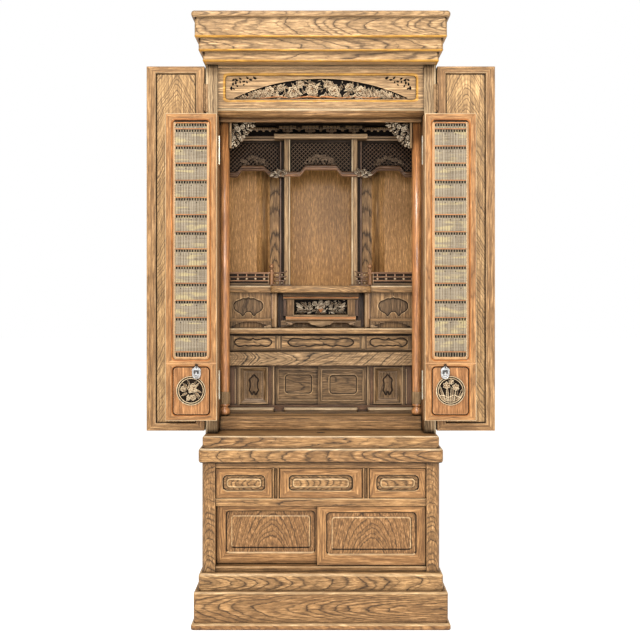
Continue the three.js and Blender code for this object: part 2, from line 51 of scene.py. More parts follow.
# ------------------------------------------------------------------ material helpers
class Mat:
    def __init__(self, name):
        self.m = bpy.data.materials.new(name)
        self.m.use_nodes = True
        self.t = self.m.node_tree
        self.t.nodes.clear()
        self.out = self.n('ShaderNodeOutputMaterial')
        self.b = self.n('ShaderNodeBsdfPrincipled')
        self.t.links.new(self.b.outputs[0], self.out.inputs[0])

    def n(self, kind, **kw):
        node = self.t.nodes.new(kind)
        for k, v in kw.items():
            setattr(node, k, v)
        return node

    def put(self, sock, v):
        if isinstance(v, bpy.types.NodeSocket):
            self.t.links.new(v, sock)
        elif v is not None:
            sock.default_value = v

    def math(self, op, a, b=None, c=None, clamp=False):
        node = self.n('ShaderNodeMath', operation=op, use_clamp=clamp)
        self.put(node.inputs[0], a)
        self.put(node.inputs[1], b)
        self.put(node.inputs[2], c)
        return node.outputs[0]

    def comb(self, x, y, z):
        node = self.n('ShaderNodeCombineXYZ')
        for s, v in zip(node.inputs, (x, y, z)):
            self.put(s, v)
        return node.outputs[0]

    def sep(self, v):
        node = self.n('ShaderNodeSeparateXYZ')
        self.put(node.inputs[0], v)
        return node.outputs

    def noise(self, vec, scale=1.0, detail=2.0, rough=0.5, w=None):
        node = self.n('ShaderNodeTexNoise')
        node.noise_dimensions = '1D' if vec is None else '3D'
        if vec is None:
            self.put(node.inputs['W'], w)
        else:
            self.put(node.inputs['Vector'], vec)
        node.inputs['Scale'].default_value = scale
        node.inputs['Detail'].default_value = detail
        node.inputs['Roughness'].default_value = rough
        return node.outputs['Fac']

    def ramp(self, fac, stops, interp='LINEAR'):
        node = self.n('ShaderNodeValToRGB')
        cr = node.color_ramp
        cr.interpolation = interp
        while len(cr.elements) < len(stops):
            cr.elements.new(0.5)
        for e, (p, c) in zip(cr.elements, stops):
            e.position = p
            e.color = (c, c, c, 1) if isinstance(c, (int, float)) else (*c, 1)
        self.put(node.inputs[0], fac)
        return node.outputs[0]

    def mix(self, fac, a, b, kind='MIX'):
        node = self.n('ShaderNodeMix', data_type='RGBA', blend_type=kind)
        self.put(node.inputs[0], fac)
        self.put(node.inputs[6], (*a, 1) if isinstance(a, tuple) else a)
        self.put(node.inputs[7], (*b, 1) if isinstance(b, tuple) else b)
        return node.outputs[2]

    def range(self, v, a, b, c, d):
        node = self.n('ShaderNodeMapRange')
        self.put(node.inputs[0], v)
        for s, x in zip(node.inputs[1:5], (a, b, c, d)):
            s.default_value = x
        return node.outputs[0]

    def bump(self, height, dist, strength=1.0):
        node = self.n('ShaderNodeBump')
        node.inputs['Strength'].default_value = strength
        node.inputs['Distance'].default_value = dist
        self.put(node.inputs['Height'], height)
        self.put(self.b.inputs['Normal'], node.outputs[0])

    def gco(self):
        return self.n('ShaderNodeAttribute', attribute_name='gco').outputs['Vector']

    def obj(self):
        return self.n('ShaderNodeTexCoord').outputs['Object']

    # ambient occlusion: the materials paint shade into creases with it and, turned inside, paint highlights on arrises
    # and ridges
    def crease(self, dist=0.006, samples=4, inside=False):
        node = self.n('ShaderNodeAmbientOcclusion', samples=samples, inside=inside, only_local=False)
        node.inputs['Distance'].default_value = dist
        return node.outputs['AO']


def wood(name, light, mid, dark, p=0.0036, wander=0.0050, strength=0.95, rough=0.46, coat=0.05,
         crease=0.95, crease_shade=(0.014, 0.008, 0.004), fine=1.0, edge=0.62, spec=0.22, dist=0.0100, fw=290.0, arris=0.0019, fv=290.0, fu=21.0):
    """Ring-porous wood, stained: thin dark porous lines along each annual ring, short pores, fibre,
    slow changes of tone, painted shade darkening the creases and a painted highlight along the arrises."""
    g = Mat(name)
    light, mid = (tuple(c * k for c, k in zip(col_, (0.97, 0.955, 0.900))) for col_ in (light, mid))
    u, v, w = g.sep(g.gco())
    low = g.comb(g.math('MULTIPLY', u, 5.0), g.math('MULTIPLY', v, 15.0), g.math('MULTIPLY', w, 15.0))
    nn = g.n('ShaderNodeTexNoise')
    g.put(nn.inputs['Vector'], low)
    nn.inputs['Scale'].default_value = 1.0
    nn.inputs['Detail'].default_value = 3.0
    nn.inputs['Roughness'].default_value = 0.5
    na, nb, nc = g.sep(nn.outputs['Color'])
    vv = g.math('MULTIPLY_ADD', g.math('SUBTRACT', na, 0.5), wander * 2.4, v)
    ww = g.math('MULTIPLY_ADD', g.math('SUBTRACT', nb, 0.5), wander * 3.2, w)
    r = g.math('SQRT', g.math('ADD', g.math('MULTIPLY', vv, vv), g.math('MULTIPLY', ww, ww)))
    midc = g.comb(g.math('MULTIPLY', u, 55.0), g.math('MULTIPLY', v, 230.0), g.math('MULTIPLY', w, 230.0))
    jig = g.math('SUBTRACT', g.noise(midc, 1.0, 1.5), 0.5)
    r2 = g.math('MULTIPLY_ADD', jig, p * 0.55, r)
    uneven = g.noise(None, 1.0, 1.0, w=g.math('MULTIPLY', r, 110.0))
    t = g.math('MULTIPLY_ADD', uneven, 1.6, g.math('DIVIDE', r2, p))
    f = g.math('FRACT', t)
    cell = g.math('FLOOR', t)
    wn = g.n('ShaderNodeTexWhiteNoise', noise_dimensions='1D')
    g.put(wn.inputs['W'], cell)
    each = g.ramp(wn.outputs['Value'], [(0.0, 0.24), (0.32, 0.60), (0.58, 1.0), (1.0, 1.0)])
    line = g.ramp(f, [(0.0, 0.80), (0.06, 1.0), (0.17, 0.50), (0.34, 0.12), (0.70, 0.05), (0.90, 0.26), (1.0, 0.80)])
    line = g.math('MULTIPLY', line, each)
    fibc = g.comb(g.math('MULTIPLY', u, fu), g.math('MULTIPLY', v, fv), g.math('MULTIPLY', w, fw))
    fib = g.noise(fibc, 1.0, 4.0, 0.68)
    porc = g.comb(g.math('MULTIPLY', u, 105.0), g.math('MULTIPLY', v, 900.0), g.math('MULTIPLY', w, 900.0))
    por = g.noise(porc, 1.0, 1.0)
    pores = g.math('MULTIPLY', g.ramp(por, [(0.54, 0.0), (0.66, 1.0)]), g.math('ADD', g.math('MULTIPLY', line, 0.8), 0.30), clamp=True)
    base = g.mix(g.ramp(nc, [(0.34, 0.0), (0.66, 1.0)]), light, mid)
    deep = tuple(0.40 * m_ + 0.60 * d_ for m_, d_ in zip(mid, dark))
    lift = tuple(min(0.95, c * 1.30 + 0.03) for c in light)
    base = g.mix(g.ramp(fib, [(0.34, 0.9 * fine), (0.46, 0.0)]), base, lift)
    base = g.mix(g.ramp(fib, [(0.42, 0.0), (0.52, 0.36 * fine), (0.61, 0.95 * fine)]), base, deep)
    broad = g.noise(None, 1.0, 2.0, w=g.math('MULTIPLY', r, 165.0))
    base = g.mix(g.ramp(broad, [(0.44, 0.0), (0.62, 0.40 * fine)]), base, deep)
    col = g.mix(g.math('MULTIPLY', line, strength, clamp=True), base, dark)
    col = g.mix(g.math('MULTIPLY', pores, 0.58 * fine), col, dark)
    # painted highlight: arrises found by ambient occlusion turned inside are lightened
    if edge:
        arris_lit_mask = g.ramp(g.crease(arris, 4, True), [(0.34, 1.0), (0.74, 0.30), (0.97, 0.0)])
        pale = tuple(min(0.95, c * 1.55 + 0.10) for c in light)
        col = g.mix(g.math('MULTIPLY', arris_lit_mask, edge), col, pale)
    # painted shade: ambient occlusion darkens creases, joints and recesses towards a near-black colour
    if crease:
        ao = g.ramp(g.crease(dist, 5), [(0.22, 1.0), (0.50, 0.66), (0.74, 0.26), (0.98, 0.0)])
        col = g.mix(g.math('MULTIPLY', ao, crease), col, crease_shade)
    g.put(g.b.inputs['Base Color'], col)
    g.put(g.b.inputs['Roughness'], g.math('MULTIPLY_ADD', g.math('ADD', line, fib), 0.10, rough - 0.05))
    g.b.inputs['Specular IOR Level'].default_value = spec
    g.b.inputs['Coat Weight'].default_value = coat
    g.b.inputs['Coat Roughness'].default_value = 0.20
    h = g.math('SUBTRACT', g.math('MULTIPLY', fib, 0.6), g.math('ADD', g.math('MULTIPLY', line, 0.6), pores))
    g.bump(h, 0.00026, 0.7)
    return g.m


def carved(name, high, low, deep, rough=0.48, coat=0.04, dist=0.007, spots=0.30, spec=0.15, ridge_d=0.0010, pl=0.72):
    """Carved wood: a painted highlight on the ridges and leaf rims, painted shade deepening with depth and along the
    midribs and veins, nearly black in the pierced places; some leaves darker at random, some paler at random where they
    stand open.
    """
    g = Mat(name)
    o = g.obj()
    n = g.noise(o, 260.0, 3.0, 0.6)
    # painted shade: ambient occlusion, mottled a little, darkens the carving with depth and in the pierced places
    ao = g.crease(dist, 6)
    e = g.math('ADD', ao, g.math('MULTIPLY', g.math('SUBTRACT', n, 0.5), spots), clamp=True)
    col = g.mix(g.ramp(e, [(0.24, 0.0), (0.62, 1.0)]), deep, low)
    # painted highlight on the ridges, from ambient occlusion turned inside
    ridge = g.ramp(g.crease(ridge_d, 5, True), [(0.36, 1.0), (0.66, 0.45), (0.92, 0.0)])
    open_ = g.ramp(e, [(0.34, 0.0), (0.80, 1.0)])
    a1, a2, a3 = g.sep(g.gco())                   # a leaf: along it, out from its midrib, and which leaf
    isl = g.math('GREATER_THAN', a1, 5.0)
    s1, t1 = g.math('SUBTRACT', a1, 10.0), g.math('SUBTRACT', a2, 10.0)
    tone = g.noise(None, 1.0, 0.0, w=g.math('MULTIPLY', a3, 37.0))
    col = g.mix(g.math('MULTIPLY', isl, g.ramp(tone, [(0.46, 0.0), (0.60, 0.75)])), col, tuple(c * 0.30 for c in low))
    # leaves paler at random where they stand open: random tone and painted light together
    pale = g.math('MULTIPLY', g.math('MULTIPLY', isl, open_), g.ramp(tone, [(0.34, 0.85), (0.52, 0.0)]))
    col = g.mix(pale, col, tuple(pl * a + (1.0 - pl) * b for a, b in zip(high, low)))
    # painted highlight along each leaf's rim and tip
    rim = g.math('MAXIMUM', g.ramp(t1, [(0.70, 0.0), (0.96, 1.0)]), g.ramp(s1, [(0.86, 0.0), (1.0, 0.9)]))
    # painted shade along each leaf's midrib and veins
    vein = g.ramp(g.math('FRACT', g.math('MULTIPLY_ADD', t1, -1.1, g.math('MULTIPLY', s1, 5.0))), [(0.0, 0.75), (0.16, 0.30), (0.34, 0.0), (0.9, 0.0), (1.0, 0.75)])
    rib = g.math('MAXIMUM', g.ramp(t1, [(0.04, 1.0), (0.20, 0.0)]), g.math('MULTIPLY', vein, 0.7))
    plainr = g.math('MULTIPLY', ridge, g.math('SUBTRACT', 1.0, isl))
    leafr = g.math('MULTIPLY', rim, isl)
    col = g.mix(g.math('MULTIPLY', g.math('MULTIPLY', rib, isl), 0.85), col, tuple(0.5 * (c + d) * 0.5 for c, d in zip(low, deep)))
    col = g.mix(g.math('MULTIPLY', g.math('MAXIMUM', plainr, leafr), open_), col, high)
    g.put(g.b.inputs['Base Color'], col)
    g.put(g.b.inputs['Roughness'], g.math('MULTIPLY_ADD', n, 0.2, rough - 0.08))
    g.b.inputs['Specular IOR Level'].default_value = spec
    g.b.inputs['Coat Weight'].default_value = coat
    g.b.inputs['Coat Roughness'].default_value = 0.25
    g.bump(g.noise(o, 900.0, 2.0), 0.00025, 0.6)
    return g.m


def metal(name, bright, dull, rough=0.28, scale=700.0, pit=0.3):
    g = Mat(name)
    o = g.obj()
    a = g.noise(o, scale, 3.0, 0.6)
    b = g.noise(o, scale / 9, 2.0)
    ao = g.ramp(g.crease(0.0025, 4), [(0.2, 1.0), (0.9, 0.0)])
    col = g.mix(g.ramp(b, [(0.35, 0.0), (0.7, 1.0)]), bright, dull)
    col = g.mix(g.math('MULTIPLY', ao, 0.9), col, tuple(c * 0.12 for c in dull))
    g.put(g.b.inputs['Base Color'], col)
    g.b.inputs['Metallic'].default_value = 1.0
    g.put(g.b.inputs['Roughness'], g.math('MULTIPLY_ADD', a, 0.25, rough - 0.1))
    g.bump(a, 0.0001, pit)
    return g.m


DK = (0.040, 0.021, 0.010)
M_CASE = wood('case_wood', (0.490, 0.272, 0.110), (0.345, 0.177, 0.068), DK)
M_PIL = wood('pilaster_wood', (0.610, 0.430, 0.255), (0.490, 0.330, 0.185), (0.075, 0.046, 0.027), p=0.0026)
M_STEP = wood('step_wood', (0.530, 0.305, 0.127), (0.390, 0.210, 0.084), DK)
# a lighter copy of the case wood for the cornice and frieze: painted light, the top of the cabinet being lit more from
# above
M_TOP_LIT = wood('top_lit_wood', (0.570, 0.360, 0.178), (0.450, 0.268, 0.122), (0.055, 0.031, 0.016))
M_OUT = wood('outer_door_wood', (0.505, 0.290, 0.126), (0.370, 0.196, 0.080), DK, p=0.0026, strength=0.7)
M_OUTP = wood('outer_panel_wood', (0.610, 0.380, 0.172), (0.485, 0.283, 0.119), (0.085, 0.048, 0.024), p=0.0036, fw=22.0, wander=0.0075, edge=0.0)
M_IDOOR = wood('inner_door_wood', (0.520, 0.263, 0.099), (0.405, 0.194, 0.069), (0.090, 0.040, 0.017), p=0.0026, strength=0.60)
M_DOOR = wood('frame_wood', (0.500, 0.262, 0.100), (0.390, 0.190, 0.067), (0.075, 0.034, 0.015), p=0.0026, strength=0.62)
M_PANEL = wood('panel_wood', (0.440, 0.226, 0.086), (0.318, 0.154, 0.056), DK, p=0.0040, strength=0.92)
M_WARM = wood('warm_panel_wood', (0.490, 0.230, 0.086), (0.380, 0.168, 0.058), (0.10, 0.040, 0.016), p=0.0028, strength=0.45)
M_IN = wood('interior_wood', (0.280, 0.163, 0.072), (0.192, 0.108, 0.046), (0.020, 0.012, 0.007), p=0.0026, strength=0.82)
M_INF = wood('recess_wood', (0.250, 0.146, 0.066), (0.175, 0.098, 0.043), (0.024, 0.014, 0.008), p=0.0026, strength=0.75, edge=0.0)
M_INTOP = wood('altar_top_wood', (0.465, 0.270, 0.115), (0.350, 0.192, 0.079), (0.050, 0.028, 0.013), p=0.0026, strength=0.7)
M_BACK = wood('shrine_back_wood', (0.625, 0.320, 0.096), (0.505, 0.245, 0.068), (0.120, 0.058, 0.021), p=0.0021, strength=0.6, wander=0.004, fw=430.0, fv=430.0, fu=62.0)
M_BACKS = wood('shrine_side_wood', (0.745, 0.400, 0.150), (0.610, 0.315, 0.108), (0.170, 0.084, 0.033), p=0.0021, strength=0.6, wander=0.004, fw=430.0, fv=430.0, fu=62.0)
M_BOLD = wood('bold_wood', (0.465, 0.292, 0.146), (0.375, 0.222, 0.104), (0.012, 0.007, 0.004), p=0.0042, strength=1.0, fw=24.0, wander=0.0030, edge=0.0)
M_RED = wood('red_wood', (0.740, 0.330, 0.112), (0.580, 0.235, 0.075), (0.120, 0.044, 0.018), p=0.0022, strength=0.35, rough=0.38, coat=0.55, spec=0.6, edge=0.0)
# the lintels' own dark wood; also laid as painted shade in the dark gaps and recessed strips of the altar and the
# stand, and on one way of the side lattices' bars
M_LINTEL_AND_SHADE = wood('lintel_and_shade_wood', (0.205, 0.100, 0.045), (0.140, 0.066, 0.030), (0.018, 0.010, 0.007), p=0.0024, strength=0.4, rough=0.34, coat=0.10, edge=0.3)
M_POST = wood('post_wood', (0.470, 0.300, 0.150), (0.350, 0.212, 0.100), (0.080, 0.048, 0.026), p=0.0022, strength=0.5, edge=0.35)
M_SHADE = wood('shaded_wood', (0.040, 0.024, 0.014), (0.028, 0.017, 0.010), (0.010, 0.006, 0.004), p=0.0030, strength=0.4, edge=0.0, spec=0.08, coat=0.0)
M_GOLD = wood('bead_wood', (0.680, 0.360, 0.055), (0.540, 0.265, 0.036), (0.15, 0.060, 0.014), p=0.0026, strength=0.2, coat=0.25, edge=0.25, crease=0.6)
M_EDGE = wood('edge_wood', (0.520, 0.195, 0.046), (0.400, 0.140, 0.033), (0.10, 0.036, 0.012), p=0.0026, strength=0.25, coat=0.15, edge=0.2)
M_CARVE = carved('carved_transom', (0.930, 0.740, 0.480), (0.185, 0.099, 0.043), (0.004, 0.003, 0.002), dist=0.0105, pl=0.46)
M_CARVE_IN = carved('carved_bracket', (0.985, 0.835, 0.610), (0.165, 0.098, 0.050), (0.004, 0.003, 0.002), dist=0.0085)
M_LATT = carved('lattice_wood', (0.350, 0.238, 0.152), (0.118, 0.073, 0.043), (0.006, 0.004, 0.003), spots=0.2, ridge_d=0.0007)
M_MASU = carved('bracket_block_wood', (0.940, 0.730, 0.510), (0.325, 0.205, 0.124), (0.006, 0.004, 0.003), spots=0.2)
# near black, painted shadow: the ground behind openwork and piercings, and slots and strips where only shade falls
M_SHADOW_BLACK = carved('painted_shadow_ground', (0.012, 0.008, 0.005), (0.007, 0.005, 0.004), (0.002, 0.002, 0.001), spots=0.2, coat=0.0, spec=0.03)
# a light wood laid on arrises, chamfers, beads, rings and bosses as a painted highlight
M_HIGHLIGHT_WOOD = wood('painted_highlight_wood', (0.740, 0.575, 0.375), (0.620, 0.465, 0.290), (0.26, 0.175, 0.10), p=0.0026, strength=0.25, coat=0.1, edge=0.0, crease=0.5)
M_DRAW = wood('altar_drawer_wood', (0.460, 0.272, 0.120), (0.335, 0.190, 0.080), (0.026, 0.015, 0.009), p=0.0028, strength=0.8)
# a light wood laid on the arrises of the base, rails, drawers and sliding doors as a painted highlight
M_ARRIS_LIT = wood('arris_highlight_wood', (0.680, 0.455, 0.240), (0.560, 0.360, 0.180), (0.20, 0.115, 0.055), p=0.0026, strength=0.3, coat=0.1, edge=0.0, crease=0.5)
M_BAR = wood('screen_bar_wood', (0.300, 0.220, 0.130), (0.240, 0.170, 0.100), (0.10, 0.065, 0.035), p=0.0026, strength=0.25, edge=0.0, crease=0.4)
M_LINT2 = wood('lintel_lit_wood', (0.340, 0.165, 0.070), (0.240, 0.112, 0.048), (0.040, 0.020, 0.012), p=0.0024, strength=0.4, rough=0.30, coat=0.15)
M_FIG = wood('figured_strip_wood', (0.620, 0.355, 0.142), (0.500, 0.268, 0.100), (0.030, 0.017, 0.009), p=0.0058, strength=0.85, wander=0.003, fw=60.0)
M_DAIS = wood('stand_wood', (0.400, 0.228, 0.096), (0.300, 0.160, 0.064), (0.040, 0.022, 0.010), p=0.0026, strength=0.7)
# a darker wood for the hollow in the shrine's side boards: painted shade
M_HOLLOW_SHADE = wood('hollow_shade_wood', (0.520, 0.285, 0.108), (0.410, 0.215, 0.078), (0.10, 0.050, 0.022), p=0.0022, strength=0.45)
M_BRASS = metal('hinge_brass', (0.86, 0.80, 0.66), (0.66, 0.55, 0.36), rough=0.30)
M_BRONZE = metal('hinge_bronze', (0.30, 0.185, 0.095), (0.17, 0.100, 0.050), rough=0.46)
M_SILVER = metal('pull_silver', (0.88, 0.88, 0.87), (0.50, 0.49, 0.47), rough=0.24)
M_LATCH = metal('latch_metal', (0.060, 0.052, 0.045), (0.030, 0.026, 0.022), rough=0.42)


# ------------------------------------------------------------------ meshes
class P:
    """A mesh in the making, in millimetres."""
    def __init__(self):
        self.v, self.f, self.g, self.m, self.s = [], [], [], [], []

    def face(self, idx, g=None, m=0, s=False, at=None):
        if isinstance(g, dict):
            g = g['bottom']
        self.f.append(tuple(idx))
        self.g.append([at[i] for i in idx] if at else [g(*self.v[i]) if g else tuple(c / 1000 for c in self.v[i]) for i in idx])
        self.m.append(m)
        self.s.append(s)

    def make(self, name, body, mats, replaces=(), slot=None, stage=False):
        me = bpy.data.meshes.new(name)
        me.from_pydata([(x / 1000, (y - YM) / 1000, z / 1000) for x, y, z in self.v], [], self.f)
        for mt in (mats if isinstance(mats, (list, tuple)) else [mats]):
            me.materials.append(mt)
        at = me.attributes.new('gco', 'FLOAT_VECTOR', 'CORNER')
        flat = [c for face in self.g for p in face for c in p]
        at.data.foreach_set('vector', flat)
        me.polygons.foreach_set('material_index', self.m)
        me.polygons.foreach_set('use_smooth', self.s)
        me.update()
        bm = bmesh.new()
        bm.from_mesh(me)
        bmesh.ops.recalc_face_normals(bm, faces=bm.faces)
        bm.to_mesh(me)
        bm.free()
        ob = bpy.data.objects.new(name, me)
        bpy.context.scene.collection.objects.link(ob)
        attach(ob, body)
        if replaces:
            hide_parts(*((replaces,) if isinstance(replaces, str) else replaces))
        return ob


AX = {'x': 0, 'y': 1, 'z': 2}
_rng = random.Random(11)


def grain(along='x', depth='y', c=(0, 0, 0), d=55.0, s=0.12, v0=0.0, off=None):
    """Where a point of a board lies in its log: along the grain, across, and out from the heart."""
    off = _rng.uniform(200, 2600) if off is None else off
    a, b = AX[along], AX[depth]
    o = 3 - a - b
    def fn(x, y, z):
        p = (x - c[0], y - c[1], z - c[2])
        return ((p[a] + off) / 1000, (p[o] + v0) / 1000, (p[b] * 1.0 + d + s * p[a]) / 1000)
    return fn


def rnd_grain(along='x', depth='y', c=(0, 0, 0), d=(35, 85), s=(0.05, 0.16), v=12):
    return grain(along, depth, c, _rng.uniform(*d), _rng.choice((-1, 1)) * _rng.uniform(*s), _rng.uniform(-v, v))


def plain_grain(along='x', depth='y', c=(0, 0, 0)):
    """Quarter-sawn: the rings run straight along the board."""
    return grain(along, depth, c, 12.0, 0.012 * _rng.choice((-1, 1)), 150.0 + _rng.uniform(0, 60))


def board(p, x0, x1, y0, y1, z0, z1, g=None, b=0.8, m=0):
    """A board with its arrises taken off."""
    if x0 > x1:
        x0, x1 = x1, x0
    b = min(b, (x1 - x0) / 3, (y1 - y0) / 3, (z1 - z0) / 3)
    n = len(p.v)
    lo, hi = (x0, y0, z0), (x1, y1, z1)
    idx = {}
    for i in (0, 1):
        for j in (0, 1):
            for k in (0, 1):
                for ax in (0, 1, 2):
                    q = [(lo, hi)[t][a] for a, t in enumerate((i, j, k))]
                    for a, t in enumerate((i, j, k)):
                        if a != ax:
                            q[a] += b if t == 0 else -b
                    idx[i, j, k, ax] = len(p.v)
                    p.v.append(tuple(q))
    def quad(ids, nrm):
        a, bb, c = (Vector(p.v[i]) for i in ids[:3])
        if (bb - a).cross(c - bb).dot(nrm) < 0:
            ids = ids[::-1]
        p.face(ids, g, m)
    for ax in (0, 1, 2):
        o1, o2 = [a for a in (0, 1, 2) if a != ax]
        for t in (0, 1):
            nrm = Vector([0, 0, 0])
            nrm[ax] = 1 if t else -1
            ids = []
            for s1, s2 in ((0, 0), (1, 0), (1, 1), (0, 1)):
                key = [0, 0, 0]
                key[ax], key[o1], key[o2] = t, s1, s2
                ids.append(idx[(*key, ax)])
            quad(ids, nrm)
        for s1 in (0, 1):
            for s2 in (0, 1):
                nrm = Vector([0, 0, 0])
                nrm[o1] = 1 if s1 else -1
                nrm[o2] = 1 if s2 else -1
                ids = []
                for t, first in ((0, True), (1, False)):
                    key = [0, 0, 0]
                    key[ax], key[o1], key[o2] = t, s1, s2
                    pair = [idx[(*key, o1)], idx[(*key, o2)]]
                    ids += pair if first else pair[::-1]
                quad(ids, nrm)
    for i in (0, 1):
        for j in (0, 1):
            for k in (0, 1):
                nrm = Vector(((-1, 1)[i], (-1, 1)[j], (-1, 1)[k]))
                quad([idx[i, j, k, 0], idx[i, j, k, 1], idx[i, j, k, 2]], nrm)


def arc(cx, cy, r, a0, a1, n):
    return [(cx + r * math.cos(math.radians(a0 + (a1 - a0) * i / n)), cy + r * math.sin(math.radians(a0 + (a1 - a0) * i / n)))
            for i in range(n + 1)]


def moulded(p, hw, yf, back, profile, corner=5, n=6, gs=None, m=0, mids=None):
    """A board round three sides whose edge follows [inset, z]; the front and the sides are mitred."""
    gs = gs or (rnd_grain('x', 'y', (0, yf, (profile[0][1] + profile[-1][1]) / 2)),
                rnd_grain('y', 'x', (-hw, 0, (profile[0][1] + profile[-1][1]) / 2)),
                rnd_grain('y', 'x', (hw, 0, (profile[0][1] + profile[-1][1]) / 2)))
    rings = []
    for inset, z in profile:
        h, f, r = hw - inset, yf + inset, max(corner - inset * 0.5, 0.8)
        ring = arc(-h + r, f + r, r, 180, 270, n) + arc(h - r, f + r, r, 270, 360, n) + [(h, back), (-h, back)]
        base = len(p.v)
        p.v += [(x, y, z) for x, y in ring]
        rings.append(list(range(base, base + len(ring))))
    k = len(rings[0])
    gb = grain('x', 'y', (0, back, (profile[0][1] + profile[-1][1]) / 2), 12.0, 0.012, 170.0, 900)
    def gof(i):
        if i == 2 * n + 2:
            return gb
        if i < n // 2:
            return gs[1]
        if i < 3 * n // 2 + 1:
            return gs[0]
        if i < 2 * n + 2:
            return gs[2]
        return gs[1]
    for j in range(len(rings) - 1):
        mm = mids[j] if mids else m
        for i in range(k):
            a, b = rings[j][i], rings[j][(i + 1) % k]
            c, d = rings[j + 1][(i + 1) % k], rings[j + 1][i]
            p.face((a, b, c, d), gof(i), mm, s=(i < 2 * n + 1) and i != n)
    p.face(rings[0][::-1], gs[0], m)
    p.face(rings[-1], gs[0], m)


def rr(x0, x1, z0, z1, r, n=6):
    r = max(r, 0.05)
    pts = []
    for cx, cz, a in ((x1 - r, z0 + r, -90), (x1 - r, z1 - r, 0), (x0 + r, z1 - r, 90), (x0 + r, z0 + r, 180)):
        pts += arc(cx, cz, r, a, a + 90, n)
    return pts


def side_of(i, n):
    c, k = divmod(i, n + 1)
    if k == n:
        return ('right', 'top', 'left', 'bottom')[c]
    return (('bottom', 'right'), ('right', 'top'), ('top', 'left'), ('left', 'bottom'))[c][k >= n / 2]


def loft(p, loops, bands, n=6, cap0=None, cap1=None, closed=False, mirror=False):
    """Joins loops [(points, y)], the outer back one first. bands gives (grain, material, smooth) for
    each step; a grain may be a dict by side."""
    ids = []
    for pts, y in loops:
        base = len(p.v)
        p.v += [((-x if mirror else x), y, z) for x, z in pts]
        ids.append(list(range(base, base + len(pts))))
    k = len(ids[0])
    steps = len(ids) if closed else len(ids) - 1
    for j in range(steps):
        g, m, s = bands[j] if j < len(bands) else bands[-1]
        A, B = ids[j], ids[(j + 1) % len(ids)]
        for i in range(k):
            sd = side_of(i, n) if isinstance(g, dict) or isinstance(m, dict) else None
            gi = g[sd] if isinstance(g, dict) else g
            mi = m[sd] if isinstance(m, dict) else m
            q = (A[i], A[(i + 1) % k], B[(i + 1) % k], B[i])
            p.face(q[::-1] if mirror else q, gi, mi, s)
    if cap0:
        q = ids[0] if mirror else ids[0][::-1]
        p.face(q, cap0[0], cap0[1])
    if cap1:
        q = ids[-1][::-1] if mirror else ids[-1]
        p.face(q, cap1[0], cap1[1])


def mitre(cx, cz, y, hw, hz, strength=(0.02, 0.06)):
    """Grain for the four sticks of a mitred frame."""
    def one(al, c):
        return grain(al, 'y', c, _rng.uniform(60, 120), _rng.choice((-1, 1)) * _rng.uniform(*strength), _rng.uniform(20, 70))
    return {'bottom': one('x', (cx, y, cz - hz)), 'top': one('x', (cx, y, cz + hz)),
            'left': one('z', (cx - hw, y, cz)), 'right': one('z', (cx + hw, y, cz))}


def prism_z(p, plan, z0, z1, g=None, m=0, s=False, smooth_to=None):
    """A plan outline (counter-clockwise from above) between two heights."""
    base = len(p.v)
    k = len(plan)
    p.v += [(x, y, z0) for x, y in plan] + [(x, y, z1) for x, y in plan]
    mf = m if callable(m) else (lambda a, b: m)
    for i in range(k):
        j = (i + 1) % k
        p.face((base + i, base + j, base + k + j, base + k + i), g, mf((plan[i][0] + plan[j][0]) / 2, (plan[i][1] + plan[j][1]) / 2), s)
    p.face([base + i for i in range(k)][::-1], g, 0 if callable(m) else m)
    p.face([base + k + i for i in range(k)], g, 0 if callable(m) else m)


def bar_x(p, prof, x0, x1, g=None, m=0, s=False):
    """A side profile of (y, z) points, clockwise seen from +X, run along X."""
    area = sum(a[0] * b[1] - b[0] * a[1] for a, b in zip(prof, prof[1:] + prof[:1]))
    if area < 0:
        prof = prof[::-1]
    if x0 > x1:
        x0, x1 = x1, x0
    base, k = len(p.v), len(prof)
    p.v += [(x0, y, z) for y, z in prof] + [(x1, y, z) for y, z in prof]
    mf = m if callable(m) else (lambda a, b: m)
    for i in range(k):
        j = (i + 1) % k
        p.face((base + i, base + j, base + k + j, base + k + i), g, mf((prof[i][0] + prof[j][0]) / 2, (prof[i][1] + prof[j][1]) / 2), s)
    p.face([base + i for i in range(k)][::-1], g, 0 if callable(m) else m)
    p.face([base + k + i for i in range(k)], g, 0 if callable(m) else m)


def slab(p, x0, x1, y0, y1, z0, z1, g, m, nx, nz):
    """A thin board whose two faces are divided finely, so that its figure can follow any law."""
    base = len(p.v)
    for y in (y0, y1):
        for i in range(nx + 1):
            for j in range(nz + 1):
                p.v.append((x0 + (x1 - x0) * i / nx, y, z0 + (z1 - z0) * j / nz))
    N, o = nz + 1, (nx + 1) * (nz + 1)
    for i in range(nx):
        for j in range(nz):
            a = base + i * N + j
            p.face((a, a + N, a + N + 1, a + 1), g, m)
            p.face((a + o, a + o + 1, a + o + N + 1, a + o + N), g, m)
        for a in (base + i * N, base + i * N + nz):
            q = (a, a + o, a + o + N, a + N)
            p.face(q if a == base + i * N else q[::-1], g, m)
    for j in range(nz):
        for a, fl in ((base + j, True), (base + nx * N + j, False)):
            q = (a, a + o, a + o + 1, a + 1)
            p.face(q[::-1] if fl else q, g, m)


def figured(p, x0, x1, y0, y1, z0, z1, xc, s, k, a, m, n=26, off=0.0):
    """A thin board cut near the heart: its rings make a column of pointed arches about xc."""
    def g(x, y, z):
        v = (x - xc) / 1000
        r = 0.30 + s * (z - z0) / 1000 + k * math.sqrt(v * v + a * a) + off
        return (z / 1000 + off, v, math.sqrt(max(1e-6, r * r - v * v)))
    slab(p, x0, x1, y0, y1, z0, z1, g, m, n, 1)


